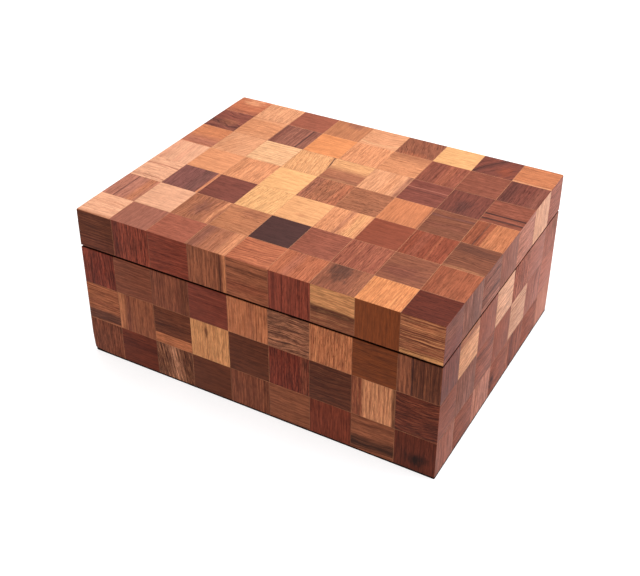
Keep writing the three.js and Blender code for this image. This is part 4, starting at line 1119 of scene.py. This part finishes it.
def bar(bm, angle, r0, r1, half, thick, lift=0.0):
    o, t = turned(angle)
    low = [bm.verts.new(dial_point(o[0] * r + t[0] * w, o[1] * r + t[1] * w, lift)) for r, w in ((r0, -half), (r1, -half), (r1, half), (r0, half))]
    high = [bm.verts.new(dial_point(o[0] * r + t[0] * w, o[1] * r + t[1] * w, lift + thick)) for r, w in ((r0, -half), (r1, -half), (r1, half), (r0, half))]
    for k in range(4):
        bm.faces.new((low[k], low[(k + 1) % 4], high[(k + 1) % 4], high[k]))
    bm.faces.new(low[::-1])
    bm.faces.new(high)


def scale_marks(bm):
    for v in range(0, 101, 2):
        long_ = v % 10 == 0
        bar(bm, at_value(v), 15.6 if long_ else 16.3, 17.35, 0.16 if long_ else 0.08, 0.02)
    wedge(bm, 17.35, 17.5, at_value(0), at_value(100), 0.02, 90)


def figures(bm):
    for text, size, a, b in [(str(v), 2.7, *(13.3 * k for k in turned(at_value(v))[0])) for v in range(0, 101, 20)] + [("%", 3.6, 0.0, -10.2)]:
        cu = bpy.data.curves.new("figure", "FONT")
        cu.body = text
        cu.size = size
        cu.align_x, cu.align_y = "CENTER", "CENTER"
        cu.extrude = 0.01
        cu.offset = 0.035
        cu.resolution_u = 3
        tmp = bpy.data.objects.new("figure", cu)
        bpy.context.scene.collection.objects.link(tmp)
        bpy.context.view_layer.update()
        me = tmp.to_mesh()
        base = [bm.verts.new(dial_point(a + v.co.x, b + v.co.y, 0.01 + v.co.z)) for v in me.vertices]
        for f in me.polygons:
            bm.faces.new([base[i] for i in f.vertices])
        tmp.to_mesh_clear()
        bpy.data.objects.remove(tmp)
        bpy.data.curves.remove(cu)
    bmesh.ops.remove_doubles(bm, verts=bm.verts, dist=1e-7)


def zone(v0, v1):
    return lambda bm: wedge(bm, 17.75, 18.75, at_value(v0), at_value(v1), 0.02, max(6, int((v1 - v0) * 0.9)))


BLACK_INK = ink("black_ink", (34, 31, 30))
dial_piece("hygrometer_scale_marks", BLACK_INK, scale_marks)
dial_piece("hygrometer_scale_figures", BLACK_INK, figures)
dial_piece("hygrometer_zone_dry", ink("ochre_ink", (206, 132, 58)), zone(0, 60.2))
dial_piece("hygrometer_zone_right", ink("green_ink", (70, 128, 74)), zone(60.2, 75.2))
dial_piece("hygrometer_zone_damp", ink("blue_ink", (66, 104, 150)), zone(75.2, 100))


# ------------------------------------------------------------------ felt under the case
def felt_material():
    g = Graph("felt_dark")
    p = g.object_mm()
    fuzz = g.noise(g.vmath("SCALE", p, scale=1.7), detail=3.0, rough=0.75)
    wool = g.noise(g.vmath("MULTIPLY", p, (0.35, 0.5, 0.8)), detail=3.0, rough=0.7, distortion=1.2)
    col = g.mix(g.step(wool, 0.3, 0.7), (0.010, 0.006, 0.005), (0.026, 0.015, 0.012))
    col = g.scale_colour(col, g.madd(g.sub(fuzz, 0.5), 0.9, 1.0))
    return g.principled(colour=col, rough=g.madd(fuzz, 0.08, 0.88), spec=0.03, sheen=0.02, sheen_rough=0.5, sheen_tint=(0.6, 0.55, 0.52, 1.0), normal=g.bump(g.add(fuzz, wool), 0.12, 0.8))


def felt_pad():
    lo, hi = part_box("felt_base")
    cx, cy = (lo.x + hi.x) / 2, (lo.y + hi.y) / 2
    flat = (hi.x - lo.x, hi.y - lo.y)
    bulge = 0.78 * MM
    hx, hy, thick = flat[0] / 2 + bulge, flat[1] / 2 + bulge, hi.z - lo.z + 0.1 * MM
    rng = random.Random(5)
    outline = []
    for sx, sy, a0 in ((1, 1, 0), (-1, 1, 90), (-1, -1, 180), (1, -1, 270)):
        r = (3.2 if (sx, sy) == (-1, -1) else 0.7) * MM
        ox, oy = cx + sx * (hx - r), cy + sy * (hy - r)
        for k in range(7):
            a = math.radians(a0 + 15 * k)
            outline.append((ox + r * math.cos(a), oy + r * math.sin(a), math.cos(a), math.sin(a)))
    dense = []
    for k, p in enumerate(outline):
        q = outline[(k + 1) % len(outline)]
        dense.append(p)
        gap = math.hypot(q[0] - p[0], q[1] - p[1])
        n = int(gap / (1.6 * MM))
        for i in range(1, n):
            f = i / n
            dense.append((p[0] + (q[0] - p[0]) * f, p[1] + (q[1] - p[1]) * f, p[2], p[3]))
    bm = bmesh.new()
    rings = []
    for inset, z in ((0.14, 0.0), (0.02, 0.08), (0.0, 0.28), (0.0, 0.74), (0.02, 0.93), (0.16, 1.0)):
        ring = []
        for x, y, nx, ny in dense:
            fuzz = rng.uniform(0.0, 0.07) if 0 < z < 1 else rng.uniform(0.0, 0.04)
            ring.append(bm.verts.new((x - nx * (inset + fuzz) * MM, y - ny * (inset + fuzz) * MM, lo.z + z * thick)))
        rings.append(ring)
    n = len(dense)
    for p, q in zip(rings, rings[1:]):
        for k in range(n):
            f = bm.faces.new((p[k], p[(k + 1) % n], q[(k + 1) % n], q[k]))
            f.smooth = True
    bm.faces.new(rings[0][::-1])
    bm.faces.new(rings[-1])
    bmesh.ops.recalc_face_normals(bm, faces=bm.faces)
    me = bpy.data.meshes.new("felt_pad")
    bm.to_mesh(me)
    bm.free()
    me.materials.append(felt_material())
    ob = bpy.data.objects.new("felt_pad", me)
    bpy.context.scene.collection.objects.link(ob)
    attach(ob, "case")
    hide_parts("felt_base")
    return ob


felt_pad()


# ------------------------------------------------------------------ foam block in the humidifier
def foam_material():
    g = Graph("foam_green")
    p = g.object_mm()
    cells = g.voronoi(p, scale=1.5)
    fine = g.noise(g.vmath("SCALE", p, scale=3.0), detail=2.0, rough=0.7)
    cloud = g.noise(g.vmath("SCALE", p, scale=0.12), detail=2.0)
    col = g.mix(g.step(cells, 0.15, 0.6), rgb(38, 62, 42), rgb(96, 132, 84))
    col = g.mix(g.mul(g.step(cloud, 0.35, 0.7), 0.3), col, rgb(66, 96, 60))
    col = g.scale_colour(col, g.madd(g.sub(fine, 0.5), 0.5, 1.0))
    return g.principled(colour=col, rough=0.92, spec=0.12, normal=g.bump(g.add(cells, g.mul(fine, 0.4)), 0.35, 0.9))


def foam_block():
    lo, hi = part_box("humidifier_foam")
    rng = random.Random(23)
    size, mid = hi - lo, (lo + hi) / 2
    r = 1.0 * MM
    nx, ny, nz = 76, 34, 6
    bm = bmesh.new()
    made = {}

    def corner(i, j, k):
        key = (i, j, k)
        if key not in made:
            p = Vector((lo.x + size.x * i / nx, lo.y + size.y * j / ny, lo.z + size.z * k / nz))
            big = 5.0 * MM
            qx = min(max(p.x, lo.x + big), hi.x - big)
            qy = min(max(p.y, lo.y + big), hi.y - big)
            d = Vector((p.x - qx, p.y - qy, 0))
            if d.length > big:
                d = d.normalized() * big
            p = Vector((qx + d.x, qy + d.y, p.z))
            q = Vector((min(max(p.x, lo.x + r), hi.x - r), min(max(p.y, lo.y + r), hi.y - r), min(max(p.z, lo.z + r), hi.z - r)))
            e = p - q
            if e.length > r:
                p = q + e.normalized() * r
            rough = 1.0 if min(i, j, nx - i, ny - j) > 4 else 0.15
            p += (mid - p) * (rng.uniform(0, 0.008) * rough)
            p.z += (0.28 * MM if k == 0 else -0.28 * MM if k == nz else 0) * rng.random() * rough
            made[key] = bm.verts.new(p)
        return made[key]

    def quad(a, b, c, d):
        bm.faces.new([corner(*t) for t in (a, b, c, d)])

    for i in range(nx):
        for j in range(ny):
            quad((i, j, 0), (i + 1, j, 0), (i + 1, j + 1, 0), (i, j + 1, 0))
            quad((i, j, nz), (i + 1, j, nz), (i + 1, j + 1, nz), (i, j + 1, nz))
    for k in range(nz):
        for i in range(nx):
            quad((i, 0, k), (i + 1, 0, k), (i + 1, 0, k + 1), (i, 0, k + 1))
            quad((i, ny, k), (i + 1, ny, k), (i + 1, ny, k + 1), (i, ny, k + 1))
        for j in range(ny):
            quad((0, j, k), (0, j + 1, k), (0, j + 1, k + 1), (0, j, k + 1))
            quad((nx, j, k), (nx, j + 1, k), (nx, j + 1, k + 1), (nx, j, k + 1))
    bmesh.ops.recalc_face_normals(bm, faces=bm.faces)
    me = bpy.data.meshes.new("humidifier_foam_block")
    bm.to_mesh(me)
    bm.free()
    me.materials.append(foam_material())
    ob = bpy.data.objects.new("humidifier_foam_block", me)
    bpy.context.scene.collection.objects.link(ob)
    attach(ob, "humidifier")
    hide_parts("humidifier_foam")
    return ob


foam_block()


# ------------------------------------------------------------------ floor, world and lights
def floor_material():
    g = Graph("floor_white")
    p = g.object_mm()
    fine = g.noise(g.vmath("SCALE", p, scale=0.02), detail=2.0)
    d = g.nt.nodes.new("ShaderNodeBsdfDiffuse")
    g.put(d.inputs["Color"], g.mix(fine, (0.36, 0.36, 0.36), (0.38, 0.38, 0.38)))
    e = g.nt.nodes.new("ShaderNodeEmission")
    e.inputs["Color"].default_value = (1.0, 0.985, 0.985, 1)
    e.inputs["Strength"].default_value = 0.78
    a = g.nt.nodes.new("ShaderNodeAddShader")
    g.nt.links.new(d.outputs[0], a.inputs[0])
    g.nt.links.new(e.outputs[0], a.inputs[1])
    g.nt.links.new(a.outputs[0], g.out.inputs[0])
    return g.mat


me = bpy.data.meshes.new("floor")
me.from_pydata([(-6, -6, 0), (6, -6, 0), (6, 6, 0), (-6, 6, 0)], [], [(0, 1, 2, 3)])
me.materials.append(floor_material())
floor = bpy.data.objects.new("floor", me)
bpy.context.scene.collection.objects.link(floor)


def backdrop():
    """A pale wall round the floor that only the camera sees, so a low view has no dark horizon."""
    g = Graph("backdrop_white")
    e = g.nt.nodes.new("ShaderNodeEmission")
    e.inputs["Color"].default_value = (1.0, 0.985, 0.985, 1)
    e.inputs["Strength"].default_value = 0.92
    g.nt.links.new(e.outputs[0], g.out.inputs[0])
    ring = [(5.9 * math.cos(math.tau * k / 48), 5.9 * math.sin(math.tau * k / 48)) for k in range(48)]
    verts = [(x, y, -0.02) for x, y in ring] + [(x, y, 5.0) for x, y in ring]
    me = bpy.data.meshes.new("backdrop")
    me.from_pydata(verts, [], [((k + 1) % 48, k, 48 + k, 48 + (k + 1) % 48) for k in range(48)])
    me.materials.append(g.mat)
    ob = bpy.data.objects.new("backdrop", me)
    ob.visible_diffuse = ob.visible_glossy = ob.visible_transmission = False
    ob.visible_volume_scatter = ob.visible_shadow = False
    bpy.context.scene.collection.objects.link(ob)


backdrop()

world = bpy.data.worlds.new("studio")
world.use_nodes = True
bpy.context.scene.world = world
world.node_tree.nodes["Background"].inputs["Color"].default_value = (1.0, 0.99, 0.98, 1)
world.node_tree.nodes["Background"].inputs["Strength"].default_value = 0.35


def softbox(name, at, aim, size, power, colour=(1, 1, 1)):
    d = bpy.data.lights.new(name, "AREA")
    d.shape = "RECTANGLE"
    d.size, d.size_y = size
    d.energy = power
    d.color = colour
    o = bpy.data.objects.new(name, d)
    o.location = at
    o.rotation_euler = (Vector(aim) - Vector(at)).to_track_quat("-Z", "Y").to_euler()
    bpy.context.scene.collection.objects.link(o)
    return o


softbox("key_top", (-0.2, 0.4, 1.5), (0, 0, 0.1), (1.5, 1.3), 32, (1.0, 0.985, 0.96))
softbox("side_right", (1.5, 0.35, 0.75), (0, 0, 0.06), (1.1, 0.9), 22, (0.93, 1.02, 1.14))
softbox("fill_front", (-0.7, -1.5, 0.9), (0, 0, 0.05), (1.2, 0.9), 3.6, (1.0, 0.93, 0.86))

view = bpy.context.scene.view_settings
view.view_transform = "Standard"
view.look = "None"
view.exposure = 0.0
view.gamma = 1.0
